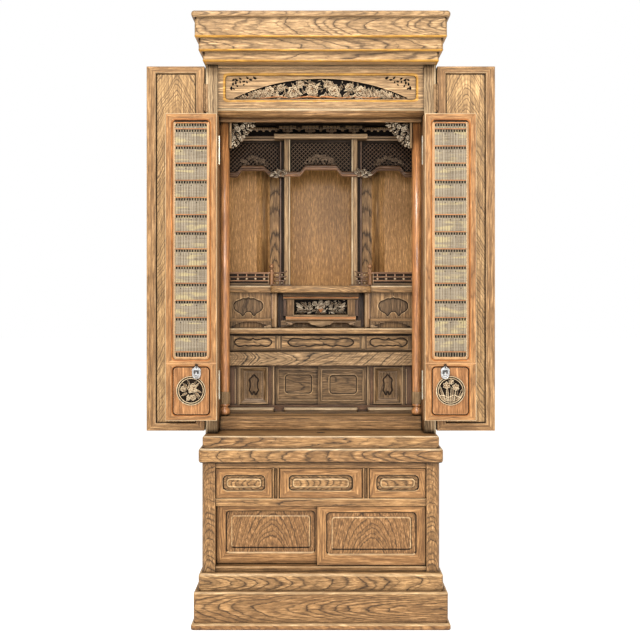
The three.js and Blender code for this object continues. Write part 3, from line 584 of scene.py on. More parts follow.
def plate(p, pts, y0, y1, g=None, m=0, b=0.6, mirror=False, s=False):
    """An outline seen from the front, with a small bevel round its front edge."""
    area = sum(a[0] * c[1] - c[0] * a[1] for a, c in zip(pts, pts[1:] + pts[:1]))
    if area < 0:
        pts = pts[::-1]
    k = len(pts)
    ins = []
    for i in range(k):
        a, o, c = Vector(pts[i - 1]), Vector(pts[i]), Vector(pts[(i + 1) % k])
        e1, e2 = (o - a), (c - o)
        n1 = Vector((-e1.y, e1.x)).normalized() if e1.length else Vector((0, 0))
        n2 = Vector((-e2.y, e2.x)).normalized() if e2.length else Vector((0, 0))
        nn = n1 + n2
        nn = nn.normalized() if nn.length > 1e-6 else n1
        q = o + nn * b / max(0.5, nn.dot(n1) if n1.length else 1)
        ins.append((q.x, q.y))
    base = len(p.v)
    sx = -1 if mirror else 1
    for pts_, y in ((pts, y1), (pts, y0 + b), (ins, y0)):
        p.v += [(sx * x, y, z) for x, z in pts_]
    for lay in (0, 1):
        for i in range(k):
            j = (i + 1) % k
            q = (base + lay * k + i, base + lay * k + j, base + (lay + 1) * k + j, base + (lay + 1) * k + i)
            p.face(q[::-1] if mirror else q, g, m, s)
    q = [base + i for i in range(k)][::-1]
    p.face(q[::-1] if mirror else q, g, m)
    q = [base + 2 * k + i for i in range(k)]
    p.face(q[::-1] if mirror else q, g, m)


def lathe(p, prof, x, y, n=32, g=None, m=0, flute=None):
    """[radius, z] from the foot up, turned about an upright axis; flute(z, angle) scales the radius."""
    base = len(p.v)
    for r, z in prof:
        for i in range(n):
            a = 2 * PI * i / n
            q = r * (flute(z, a) if flute else 1)
            p.v.append((x + q * math.cos(a), y + q * math.sin(a), z))
    for j in range(len(prof) - 1):
        for i in range(n):
            k = (i + 1) % n
            p.face((base + j * n + i, base + j * n + k, base + (j + 1) * n + k, base + (j + 1) * n + i), g, m, True)
    p.face([base + i for i in range(n)][::-1], g, m)
    t = base + (len(prof) - 1) * n
    p.face([t + i for i in range(n)], g, m)


def tube(p, pts, rad, n=8, g=None, m=0, flat=1.0):
    """A round bar along 3-D points, tapering with rad(t)."""
    pts = [Vector(q) for q in pts]
    k = len(pts)
    base = len(p.v)
    up = Vector((0, 1, 0))
    for i, q in enumerate(pts):
        d = (pts[min(i + 1, k - 1)] - pts[max(i - 1, 0)])
        d = d.normalized() if d.length else Vector((1, 0, 0))
        side = d.cross(up)
        side = side.normalized() if side.length > 1e-4 else Vector((1, 0, 0))
        uu = side.cross(d).normalized()
        r = rad(i / (k - 1)) if callable(rad) else rad
        for j in range(n):
            a = 2 * PI * j / n
            v = q + side * (r * math.cos(a)) + uu * (r * math.sin(a) * flat)
            p.v.append(tuple(v))
    for i in range(k - 1):
        for j in range(n):
            jj = (j + 1) % n
            p.face((base + i * n + j, base + (i + 1) * n + j, base + (i + 1) * n + jj, base + i * n + jj), g, m, True)
    p.face([base + j for j in range(n)], g, m)
    p.face([base + (k - 1) * n + j for j in range(n)][::-1], g, m)


def spline(pts, n=6):
    out = []
    q = [pts[0]] + list(pts) + [pts[-1]]
    for i in range(1, len(q) - 2):
        for j in range(n):
            t = j / n
            out.append(tuple(0.5 * (2 * q[i][a] + (q[i + 1][a] - q[i - 1][a]) * t
                       + (2 * q[i - 1][a] - 5 * q[i][a] + 4 * q[i + 1][a] - q[i + 2][a]) * t * t
                       + (3 * q[i][a] - q[i - 1][a] - 3 * q[i + 1][a] + q[i + 2][a]) * t ** 3) for a in range(len(pts[0]))))
    out.append(tuple(pts[-1]))
    return out


# ------------------------------------------------------------------ carving
def leaf(p, x, z, y, ang, L, W, lift=(1.0, 2.5), kind='leaf', m=0, bend=0.0, cup=1.2, thick=2.4, ns=8, nt=6, mirror=False, lobes=0.0):
    """One carved leaf or petal: a hollowed blade with a midrib, facing the front, closed behind."""
    if kind == 'leaf':
        wf = lambda s: (math.sin(PI * min(1, s) ** 0.85) ** 0.85) * (1 - 0.25 * s) + 0.04
    elif kind == 'petal':
        wf = lambda s: min(1.0, (s * 1.9) ** 0.7) * math.sqrt(max(0.0, 1 - max(0, (s - 0.55) / 0.47) ** 2)) + 0.03
    else:
        wf = lambda s: (1 - s) ** 0.55 * min(1, s * 7 + 0.35) + 0.03
    rows = []
    for i in range(ns + 1):
        s = i / ns
        a = ang + bend * s
        w = W / 2 * wf(s)
        if lobes:
            w *= 1 + lobes * (1 if i % 2 else -1) * (0 < s < 0.95)
        rows.append((s, a, w))
    cx, cz = x, z
    fr, bk = [], []
    step = L / ns
    for i, (s, a, w) in enumerate(rows):
        if i:
            am = (a + rows[i - 1][1]) / 2
            cx += math.cos(am) * step
            cz += math.sin(am) * step
        nx, nz = -math.sin(a), math.cos(a)
        h = lift[0] + (lift[1] - lift[0]) * s
        f_, b_ = [], []
        for j in range(nt + 1):
            t = -1 + 2 * j / nt
            px, pz = cx + nx * w * t, cz + nz * w * t
            if kind == 'petal':
                q = h + cup * (t * t) * math.sin(PI * min(1, s * 1.1)) + 0.5 * (1 - abs(t)) * (1 - s)
            else:
                q = h + cup * (1 - abs(t)) * math.sin(PI * s) - 0.55 * math.exp(-(t / 0.22) ** 2) * math.sin(PI * s)
            f_.append((px, y - q, pz))
            b_.append((px, y - q + thick if kind != 'leaf' else y - q + thick, pz))
        fr.append(f_)
        bk.append(b_)
    sx = -1 if mirror else 1
    base = len(p.v)
    for grid in (fr, bk):
        for row in grid:
            p.v += [(sx * a, b, c) for a, b, c in row]
    N = nt + 1
    M = (ns + 1) * N
    mark = 10.0 + (x * 0.137 + z * 0.411 + ang) % 1.0
    at = {base + o + i * N + j: (10.0 + i / ns, 10.0 + abs(-1 + 2 * j / nt), mark) for o in (0, M) for i in range(ns + 1) for j in range(N)}
    def q(ids, flip):
        flip = flip != mirror
        p.face(ids[::-1] if flip else ids, None, m, True, at)
    for i in range(ns):
        for j in range(nt):
            a, b, c, d = base + i * N + j, base + (i + 1) * N + j, base + (i + 1) * N + j + 1, base + i * N + j + 1
            q((a, b, c, d), False)
            q((a + M, b + M, c + M, d + M), True)
        q((base + i * N, base + i * N + M, base + (i + 1) * N + M, base + (i + 1) * N), False)
        e = N - 1
        q((base + i * N + e, base + (i + 1) * N + e, base + (i + 1) * N + e + M, base + i * N + e + M), False)
    for j in range(nt):
        q((base + j, base + j + 1, base + j + 1 + M, base + j + M), False)
        t = base + ns * N + j
        q((t, t + M, t + M + 1, t + 1), False)


def dome(p, x, z, y, r, h, m=0, n=12, k=4, mirror=False, back=1.5):
    sx = -1 if mirror else 1
    base = len(p.v)
    for j in range(k):
        a = PI / 2 * j / k
        for i in range(n):
            t = 2 * PI * i / n
            p.v.append((sx * (x + r * math.cos(a) * math.cos(t)), y - h * math.sin(a), z + r * math.cos(a) * math.sin(t)))
    top = len(p.v)
    p.v.append((sx * x, y - h, z))
    bk = len(p.v)
    for i in range(n):
        t = 2 * PI * i / n
        p.v.append((sx * (x + r * math.cos(t)), y + back, z + r * math.sin(t)))
    def q(ids):
        p.face(ids[::-1] if mirror else ids, None, m, True)
    for j in range(k - 1):
        for i in range(n):
            ii = (i + 1) % n
            q((base + j * n + i, base + j * n + ii, base + (j + 1) * n + ii, base + (j + 1) * n + i))
    for i in range(n):
        ii = (i + 1) % n
        q((base + (k - 1) * n + i, base + (k - 1) * n + ii, top))
        q((bk + i, bk + ii, base + ii, base + i))
    q([bk + i for i in range(n)][::-1])


def flower(p, x, z, y, R, rng, m=0, mirror=False, h=1.0):
    """A many-petalled round flower in relief."""
    a0 = rng.uniform(0, 2 * PI)
    for cnt, L, W, lift in ((7, 1.0, 0.70, (0.8, 2.6)), (6, 0.70, 0.62, (2.4, 4.6)), (5, 0.44, 0.46, (4.0, 6.0))):
        for i in range(cnt):
            a = a0 + 2 * PI * i / cnt + rng.uniform(-0.12, 0.12)
            leaf(p, x + 0.08 * R * math.cos(a), z + 0.08 * R * math.sin(a), y, a, R * L * rng.uniform(0.9, 1.05), R * W,
                 (lift[0] * h, lift[1] * h), 'petal', m, 0, 1.3, 2.2, 5, 4, mirror)
        a0 += PI / cnt
    dome(p, x, z, y - 4.4 * h, R * 0.2, 2.6 * h, m, 10, 3, mirror)


def spray(p, x, z, y, ang, L, rng, m=0, mirror=False, n=3, W=0.42, lift=(0.8, 3.0)):
    """A fan of leaves."""
    for i in range(n):
        a = ang + (i - (n - 1) / 2) * rng.uniform(0.45, 0.7)
        leaf(p, x, z, y, a, L * rng.uniform(0.8, 1.1), L * W, (lift[0], lift[1] * rng.uniform(0.8, 1.15)), 'leaf', m,
             rng.uniform(-0.5, 0.5), 1.1, 2.2, 7, 4, mirror, 0.10)


def scroll(p, x, z, y, ang, R, turns=1.3, r=1.3, m=0, mirror=False, hand=1, lift=1.5):
    """A tendril: it leaves (x, z) along ang and winds in."""
    pts = []
    cx, cz = x - math.sin(ang) * R * hand, z + math.cos(ang) * R * hand
    a = ang - PI / 2 * hand
    k = int(14 * turns)
    for i in range(k + 1):
        t = i / k
        q = R * (1 - t) ** 0.75 + 0.12 * R
        aa = a + hand * 2 * PI * turns * t
        px = cx + q * math.cos(aa)
        pts.append(((-px if mirror else px), y - lift - 1.6 * t, cz + q * math.sin(aa)))
    tube(p, pts, lambda t: r * (1 - 0.45 * t), 7, None, m)


def ring(p, x, z, y0, y1, r0, r1, n=40, m=0, g=None):
    """A flat ring facing the front."""
    base = len(p.v)
    for rr_, y in ((r1, y1), (r1, y0 + 0.6), (r1 - 0.7, y0), (r0 + 0.7, y0), (r0, y0 + 0.6), (r0, y1)):
        for i in range(n):
            a = 2 * PI * i / n
            p.v.append((x + rr_ * math.cos(a), y, z + rr_ * math.sin(a)))
    for j in range(6):
        jn = (j + 1) % 6
        for i in range(n):
            k = (i + 1) % n
            p.face((base + j * n + i, base + j * n + k, base + jn * n + k, base + jn * n + i), g, m, j in (0, 2, 4))

# ================================================================== base
def trim_board(name, hw, yf, back, prof, corner, node, d=(45, 75), s=(0.10, 0.16), v=10, mat=M_CASE, mids=None, mats=None, sgn=None):
    zc = (prof[0][1] + prof[-1][1]) / 2
    sg = sgn if sgn is not None else _rng.choice((-1, 1))
    gs = (grain('x', 'y', (0, yf, zc), _rng.uniform(*d), sg * _rng.uniform(*s), _rng.uniform(-v, v)),
          grain('y', 'x', (-hw, 100, zc), _rng.uniform(*d), 0.14, _rng.uniform(-v, v)),
          grain('y', 'x', (hw, 100, zc), -_rng.uniform(*d), 0.14, _rng.uniform(-v, v)))
    p = P()
    moulded(p, hw, yf, back, prof, corner, 8, gs, 0, mids)
    p.make(name, 'cabinet', mats or mat, node, 'case_wood')


# the upper arris bands of these boards are in a light wood as a painted highlight; the ledge moulding's lowest bands
# are in the shaded wood as painted shade
trim_board('base_moulding_wood', 286, -66, 394, [(1.0, 0), (0.2, 0.9), (0, 2.5), (0, 7.0), (0.6, 9.6), (2.0, 11.8), (4.0, 13.1), (6.2, 13.5)], 8, 'base_moulding', mats=[M_DOOR, M_ARRIS_LIT], mids=[0, 0, 0, 0, 1, 1, 1], sgn=1)
trim_board('base_plinth_wood', 280.5, -58, 394, [(0.3, 13.5), (0, 13.9), (0, 76.5), (0.5, 78.4), (1.7, 79.8), (4.0, 80.5)], 5, 'base_plinth', (30, 34), (0.088, 0.095), -3, mats=[M_CASE, M_ARRIS_LIT], mids=[0, 0, 1, 1, 1], sgn=-1)
trim_board('base_step_wood', 271, -48, 394, [(0.3, 80.5), (0, 80.9), (0, 112.5), (0.7, 115.2), (2.3, 117.2), (5.0, 118)], 5, 'base_step', (40, 46), (0.125, 0.14), 2, mats=[M_STEP, M_ARRIS_LIT], mids=[0, 0, 1, 1, 1], sgn=1)
trim_board('ledge_moulding_wood', 271.5, -50, 394, [(5.0, 362.5), (2.2, 363.4), (0.6, 365.4), (0, 368.5), (0, 388.5), (0.6, 391.6), (2.2, 393.7), (5.0, 394.5)], 10, 'ledge_moulding', (38, 46), (0.08, 0.12), 14, mats=[M_CASE, M_HIGHLIGHT_WOOD, M_SHADE], mids=[2, 2, 0, 0, 0, 1, 1], sgn=-1)
trim_board('ledge_slab_wood', 263.5, -40, 394, [(0.4, 394.5), (0, 395), (0, 416.5), (0.6, 419), (1.9, 420.5), (4.2, 421)], 5, 'ledge_slab', (60, 75), (0.05, 0.07), 22, mats=[M_CASE, M_HIGHLIGHT_WOOD], mids=[0, 0, 0, 1, 1], sgn=1)
_bead = lambda z0: [(6.0, z0), (3.2, z0 + 0.15), (1.3, z0 + 0.9), (0.3, z0 + 2.2), (0, z0 + 3.9)]
for nm, hw, yf, z0, z1, dd, ss in (('cornice_lower', 265, -28, 1258, 1279, (60, 80), (0.03, 0.05)),
                                   ('cornice_middle', 273, -38, 1279, 1307, (46, 56), (0.07, 0.10)),
                                   ('cornice_upper', 280.5, -47, 1307, 1350.5, (48, 60), (0.10, 0.13))):
    b = _bead(z0)
    trim_board(nm + '_wood', hw, yf, 394, b + [(0.5, z0 + 4.3), (0.5, z1)], 5, nm, dd, ss, 9, mats=[M_TOP_LIT, M_GOLD], mids=[1] * 4 + [0] * 3,
               sgn=-1 if nm != 'cornice_middle' else 1)
trim_board('cornice_cap_wood', 287, -55, 394, [(5.5, 1350.5), (2.6, 1351.1), (0.9, 1352.6), (0.1, 1355), (0, 1357.5), (0.6, 1360.5), (2.4, 1363), (5.5, 1364)], 8, 'cornice_cap', mat=M_TOP_LIT)

# ================================================================== lower case
OPX = 235.5
p = P()
for s in (-1, 1):
    plan = [(-235.5, -30.5), (-235.5, -35.2), (-236.3, -36)]
    plan += [(x, y) for x, y in arc(-265.5 + 13, -36 + 13, 13, 270, 180, 8)]
    plan += [(-265.5, -4), (-235.5, -4)]
    if s > 0:
        plan = [(-x, y) for x, y in plan][::-1]
    area = sum(a[0] * c[1] - c[0] * a[1] for a, c in zip(plan, plan[1:] + plan[:1]))
    if area < 0:
        plan = plan[::-1]
    prism_z(p, plan, 118, 362.5, grain('z', 'y', (s * 250, -36, 118), 24, 0.27, s * 3.0, 900 + 300 * s), 0, False)
    # side boards, a frame and a sunk panel on each side
    xs = (251, 264.7)
    for (y0, y1, z0, z1, al) in ((-4, 30, 118, 362.5, 'z'), (352, 392, 118, 362.5, 'z'), (30, 352, 118, 150, 'y'), (30, 352, 332, 362.5, 'y')):
        board(p, s * xs[0], s * xs[1], y0, y1, z0, z1, rnd_grain(al, 'x', (s * xs[1], (y0 + y1) / 2, (z0 + z1) / 2)), 0.6)
    board(p, s * 252, s * 258.5, 29, 353, 149, 333, grain('z', 'x', (s * 258, 190, 118), s * 40, 0.16, 6), 0.2, 1)
# rails
board(p, -OPX, OPX, -31, -8, 348.5, 362.5, plain_grain('x', 'y', (0, -31, 355)), 0.6)
board(p, -OPX, OPX, -31, -8, 263.5, 280.5, rnd_grain('x', 'y', (0, -31, 272), (60, 90), (0.02, 0.04)), 1.0)
board(p, -OPX, OPX, -31, 4, 118, 128.5, plain_grain('x', 'y', (0, -31, 123)), 0.8)
for s in (-1, 1):                                      # dividers between the drawers: two beads and a flute
    x0, x1 = (93.5, 108) if s > 0 else (-108, -93.5)
    plan = [(x1, -8), (x0, -8), (x0, -31)] + arc(x0 + 1.9, -31.6, 1.9, 180, 360, 5)[1:] + arc((x0 + x1) / 2, -30.6, 3.35, 180, 0, 6)[1:-1] \
        + arc(x1 - 1.9, -31.6, 1.9, 180, 360, 5)
    area = sum(a[0] * c[1] - c[0] * a[1] for a, c in zip(plan, plan[1:] + plan[:1]))
    prism_z(p, plan if area > 0 else plan[::-1], 280.5, 348.5, plain_grain('z', 'y', (x0, -31, 280)), 0)
    board(p, x0, x1, -8, 380, 280.5, 348.5, plain_grain('y', 'x', (x0, 0, 300)), 0.2, 1)
board(p, -250.5, 250.5, -8, 379.9, 263.6, 280.4, plain_grain('x', 'z', (0, 0, 272)), 0.3, 1)
board(p, -250.5, 250.5, 4, 379.9, 118, 128.4, plain_grain('x', 'z', (0, 0, 123)), 0.3, 1)
board(p, -250.5, 250.5, -8, 379.9, 348.6, 362.4, plain_grain('x', 'z', (0, 0, 355)), 0.3, 1)
for s in (-1, 1):
    board(p, s * OPX, s * 250.4, -8, 379.8, 280.5, 348.5, plain_grain('y', 'x', (s * OPX, 0, 300)), 0.3, 1)
    board(p, s * OPX, s * 251, -8, 4, 128.4, 263.6, plain_grain('z', 'y', (s * 240, 0, 200)), 0.3, 1)
# strips along the rails' top arrises in a light wood: painted highlights
for z_, y_ in ((280.5, -31.0), (128.5, -31.0)):
    board(p, -OPX, OPX, y_ - 0.4, y_ + 1.2, z_ - 2.0, z_ + 0.15, plain_grain('x', 'y', (0, -31, z_)), 0.6, 2)
board(p, -252, 252, 380, 390.5, 118.2, 362.3, grain('z', 'y', (0, 380, 240), 50, 0.06, 20), 0.3, 1)
p.make('lower_case_wood', 'cabinet', [M_CASE, M_PANEL, M_ARRIS_LIT], 'lower_case', 'case_wood')


def drawer_box(p, x0, x1, z0, z1, yf, front, back, wall, side, low, high, m=1):
    """Sides, back and bottom of a drawer behind its front."""
    a, b = x0 + side, x1 - side
    zt = z1 - high
    for xa, xb in ((a, a + wall), (b - wall, b)):
        board(p, xa, xb, yf + front - 0.5, back, z0 + low, zt, plain_grain('y', 'x', (xa, 0, z0)), 0.5, m)
    board(p, a + wall, b - wall, back - wall, back, z0 + low, zt, plain_grain('x', 'y', (0, back, z0)), 0.5, m)
    board(p, a + wall, b - wall, yf + front - 0.5, back - wall, z0 + low, z0 + low + wall * 0.7, plain_grain('x', 'z', (0, 0, z0)), 0.2, m)


_ds = {'left': (-1, 0.20, 700), 'centre': (1, 0.20, 1500), 'right': (1, 0.16, 2100)}
for nm, a, b in (('left', -OPX, -108), ('centre', -93.5, 93.5), ('right', 108, OPX)):
    x0, x1, z0, z1, yf = a + 1, b - 1, 281.5, 347.5, -30.5
    rim = 20 if nm == 'centre' else 14.5
    xa, xb, za, zb = x0 + rim, x1 - rim, z0 + 14.5, z1 - 14
    N = 6
    L = [(rr(x0, x1, z0, z1, 0.3, N), yf + 16), (rr(x0, x1, z0, z1, 0.3, N), yf + 1.2), (rr(x0 + 1.2, x1 - 1.2, z0 + 1.2, z1 - 1.2, 0.3, N), yf)]
    for q, dy in ((0, 0), (0.5, 0.25), (1.1, 1.2), (1.5, 3.4)):
        L.append((rr(xa + q, xb - q, za + q, zb - q, 11 - q, N), yf + dy))
    L.append((rr(xa + 3.0, xb - 3.0, za + 3.0, zb - 3.0, 9, N), yf + 4.2))
    L.append((rr(xa + 8.6, xb - 8.6, za + 7.6, zb - 7.6, 7.5, N), yf + 4.2))
    L.append((rr(xa + 9.6, xb - 9.6, za + 8.6, zb - 8.6, 7.2, N), yf + 2.2))
    L.append((rr(xa + 10.6, xb - 10.6, za + 9.6, zb - 9.6, 6.6, N), yf + 1.2))
    L.append((rr(xa + 12.4, xb - 12.4, za + 11.4, zb - 11.4, 5.4, N), yf + 0.5))
    L.append((rr(xa + 15.5, xb - 15.5, za + 14.2, zb - 14.2, 3.0, N), yf + 0.15))
    mg = mitre((x0 + x1) / 2, (z0 + z1) / 2, yf, (x1 - x0) / 2 - 7, (z1 - z0) / 2 - 7)
    sg, sl, off = _ds[nm]
    pg = grain('x', 'y', ((x0 + x1) / 2, yf, (z0 + z1) / 2), 26, sg * sl * 1.3, 2, off)
    # round the sunk field: a painted highlight on its arris, its walls painted shade at the top and sides and highlight
    # at the bottom, then a dark ring of painted shade and a light ring of painted highlight round the island
    wl = {'top': 3, 'left': 3, 'right': 3, 'bottom': 4}
    bands = [(mg, 0, False), (mg, 0, False), (mg, 0, False), (mg, 4, True), (mg, wl, True), (mg, wl, True), (mg, 3, True), (pg, 2, False), (pg, 3, True), (pg, 4, True), (pg, 4, True), (pg, 2, True), (pg, 2, True)]
    p = P()
    loft(p, L, bands, N, (mg['bottom'], 0), (pg, 2))
    drawer_box(p, x0, x1, z0, z1, yf, 16, 330, 9, 4, 4, 8, 1)
    p.make('lower_drawer_%s_wood' % nm, 'lower_drawer_body_' + nm, [M_DOOR, M_PANEL, M_CASE, M_SHADE, M_ARRIS_LIT], 'lower_drawer_' + nm, 'case_wood')

for nm, x0, y0 in (('left', -OPX + 1, -12.5), ('right', OPX - 1 - 242.5, -26.5)):
    x1, z0, z1 = x0 + 242.5, 129.5, 262.5
    N = 8
    oa, ob, oc, od = x0 + 19, x1 - 19, z0 + 22, z1 - 12.5
    L = [(rr(x0, x1, z0, z1, 0.3, N), y0 + 11.5), (rr(x0, x1, z0, z1, 0.3, N), y0 + 1.0), (rr(x0 + 1.0, x1 - 1.0, z0 + 1.0, z1 - 1.0, 0.3, N), y0)]
    for q, dy in ((0, 0), (0.9, 0.3), (2.3, 1.6), (3.4, 3.4)):
        L.append((rr(oa + q, ob - q, oc + q, od - q, 10 - q * 0.6, N), y0 + dy))
    L.append((rr(oa + 12, ob - 12, oc + 12, od - 11, 6.5, N), y0 + 3.4))
    L.append((rr(oa + 13.4, ob - 13.4, oc + 13.4, od - 12.4, 6.0, N), y0 + 2.0))
    L.append((rr(oa + 15.6, ob - 15.6, oc + 15.6, od - 14.6, 5.2, N), y0 + 1.3))
    L.append((rr(oa + 17, ob - 17, oc + 17, od - 16, 4, N), y0 + 1.1))
    mg = mitre((x0 + x1) / 2, (z0 + z1) / 2, y0, 112, 58, (0.01, 0.03))
    pg = grain('z', 'y', ((oa + ob) / 2, y0, (oc + od) / 2 - 30), 42, 0.33, -(2 if nm == 'left' else -1), 500 if nm == 'left' else 1340)
    # the sunk field's walls are painted shade at the top and sides and highlight at the bottom; round the raised panel,
    # a painted highlight on the top and sides and painted shade at the right and bottom
    wl = {'top': 2, 'left': 2, 'right': 2, 'bottom': 3}
    bands = [(mg, 0, False)] * 3 + [(mg, 0, True), (mg, wl, True), (mg, wl, True), (pg, 1, False), (pg, {'top': 1, 'left': 1, 'right': 2, 'bottom': 2}, True), (pg, {'top': 3, 'left': 3, 'right': 3, 'bottom': 2}, True), (pg, 1, True)]
    p = P()
    loft(p, L, bands, N, (pg, 1), (pg, 1))
    p.make('lower_sliding_door_%s_wood' % nm, 'lower_slide_' + nm, [M_DOOR, M_PANEL, M_SHADE, M_ARRIS_LIT], 'lower_sliding_door_' + nm, 'case_wood')

# ================================================================== upper case
p = P()
for s in (-1, 1):
    # pilaster: a flat face with a bead down its inner arris, and its rounded outer arris in a light wood as a painted
    # highlight
    plan = [(234.75, 60), (234.75, 3.2)] + arc(236.6, 1.9, 1.9, 170, 300, 5) + [(238.6, 0.9), (239.4, 0)] + arc(257.3, 5.2, 5.2, -90, 0, 7) + [(262.5, 60)]
    if s < 0:
        plan = [(-x, y) for x, y in plan]
    area = sum(a[0] * c[1] - c[0] * a[1] for a, c in zip(plan, plan[1:] + plan[:1]))
    prism_z(p, plan if area > 0 else plan[::-1], 421, 1258, grain('z', 'y', (s * 248, 0, 840), 80, 0.018, s * 40), lambda x, y: 4 if abs(x) > 257.2 and y < 4.6 else 3, True)
    for (y0, y1, z0, z1, al) in ((60, 92, 421, 1258, 'z'), (352, 392, 421, 1258, 'z'), (92, 352, 421, 470, 'y'), (92, 352, 820, 862, 'y'), (92, 352, 1212, 1258, 'y')):
        board(p, s * 250, s * 262.5, y0, y1, z0, z1, rnd_grain(al, 'x', (s * 262, (y0 + y1) / 2, (z0 + z1) / 2)), 0.5)
    for z0, z1 in ((469, 821), (861, 1213)):
        board(p, s * 251, s * 256.5, 91, 353, z0, z1, grain('z', 'x', (s * 256, 222, (z0 + z1) / 2), s * 46, 0.10, 5), 0.2, 1)
board(p, -251, 251, 382, 391.5, 421.2, 1257.8, grain('z', 'y', (0, 391, 840), 60, 0.05, 20), 0.3, 1)
board(p, -249.8, 249.8, 60, 381.9, 421.1, 442, plain_grain('x', 'z', (0, 0, 440)), 0.3, 1)
board(p, -249.8, 249.8, 24, 381.9, 1244, 1257.9, plain_grain('x', 'z', (0, 0, 1250)), 0.3, 1)
board(p, -249.8, 249.8, 60.2, 381.9, 1160.5, 1170, plain_grain('x', 'z', (0, 0, 1165)), 0.3, 2)
p.make('upper_case_wood', 'cabinet', [M_CASE, M_PANEL, M_SHADE, M_PIL, M_HIGHLIGHT_WOOD], 'upper_case', 'case_wood')

# frieze: the sunk field with its golden bead, and the arched opening, whose inner wall is painted black as shade
IN_X = 234.5
ARH, ARZ, ARR = 203.0, 1183.0, 46.5


def arch_pts(grow=0.0, n=48):
    half, rise = ARH + grow * 3, ARR + grow
    r = (half * half + rise * rise) / (2 * rise)
    c = ARZ - grow * 0.5 + rise - r
    a = math.asin(half / r)
    top = [(r * math.sin(a - 2 * a * i / n), c + r * math.cos(a - 2 * a * i / n)) for i in range(n + 1)]
    z = top[0][1]
    bot = [(-half + 2 * half * i / n, z) for i in range(1, n)]
    return top, bot


def ray_loop(poly, cx, cz, asp, n=120):
    """A closed outline, resampled by the angle about a point."""
    out = []
    k = len(poly)
    for i in range(n):
        a = 2 * PI * (i + 0.5) / n - PI / 2
        dx, dz = math.cos(a) * asp, math.sin(a)
        best = None
        for j in range(k):
            ax, az = poly[j][0] - cx, poly[j][1] - cz
            bx, bz = poly[(j + 1) % k][0] - cx, poly[(j + 1) % k][1] - cz
            ex, ez = bx - ax, bz - az
            det = dx * (-ez) - dz * (-ex)
            if abs(det) < 1e-9:
                continue
            t = (ax * (-ez) - az * (-ex)) / det
            u = (dx * az - dz * ax) / det
            if t > 0 and -1e-6 <= u <= 1 + 1e-6 and (best is None or t > best):
                best = t
        out.append((cx + dx * best, cz + dz * best))
    return out


NR = 160
def rloop(poly):
    return ray_loop(poly, 0, 1197, 4.2, NR)
fg = {'x': plain_grain('x', 'y', (0, 8, 1200))}
p = P()
top, bot = arch_pts(0)
archp = top + [(x, z) for x, z in bot]
L = [(rloop(rr(-IN_X, IN_X, 1160.8, 1251.5, 0.1)), 22), (rloop(rr(-IN_X, IN_X, 1160.8, 1251.5, 0.1)), 8)]
for q, dy in ((-2.6, 0.0), (-0.6, -0.7), (1.4, 0.2), (2.4, 2.0), (2.8, 4.5)):
    L.append((rloop(rr(-220 + q, 220 - q, 1177.5 + q, 1238.5 - q, 8)), 8 + dy))
top1, bot1 = arch_pts(0.5)
L.append((rloop(top1 + bot1), 12.5))
L.append((rloop(archp), 13.0))
L.append((rloop(archp), 22))
gm = fg['x']
loft(p, L, [(gm, 0, False), (gm, 0, False), (gm, 1, True), (gm, 1, True), (gm, 1, True), (gm, 3, True), (gm, 0, False), (gm, 0, True), (gm, 2, False), (gm, 0, False)], 6, closed=True)
board(p, -IN_X, IN_X, 4, 22, 1251.6, 1257.7, plain_grain('x', 'y', (0, 4, 1254)), 0.8)
# small pierced sprays in the corners of the field, painted black as the shade in the piercings
rs = random.Random(4)
for s in (-1, 1):
    for (x, z, a, Lh, W) in ((193, 1224, 0.3, 8.5, 3.6), (184, 1228, 0.1, 7.5, 3.0), (176, 1224, -0.6, 7.0, 3.0), (168, 1229, 0.35, 7.0, 3.2), (160, 1227, -0.3, 8.0, 3.0),
                             (151, 1229, 0.15, 9.0, 4.0), (186, 1219, 0.9, 6.5, 2.8), (197, 1216, 1.1, 7.5, 3.4), (206, 1224, 2.2, 7.0, 3.0), (204, 1213, 1.3, 7.5, 3.4),
                             (208, 1203, 1.2, 9.0, 4.2), (192, 1210, 0.7, 6.0, 2.6), (199, 1205, 0.2, 6.0, 2.6), (180, 1213, 1.9, 5.0, 2.4), (170, 1219, 0.8, 5.5, 2.6)):
        leaf(p, x - Lh / 2, z, 12.0, a, Lh * 1.1, W * 1.5, (0.0, 0.1), 'leaf', 2, 0.8, 0.08, 0.9, 6, 4, mirror=(s < 0))
p.make('frieze_panel_wood', 'cabinet', [M_TOP_LIT, M_GOLD, M_SHADOW_BLACK, M_SHADE], 'frieze_panel', 'case_wood')

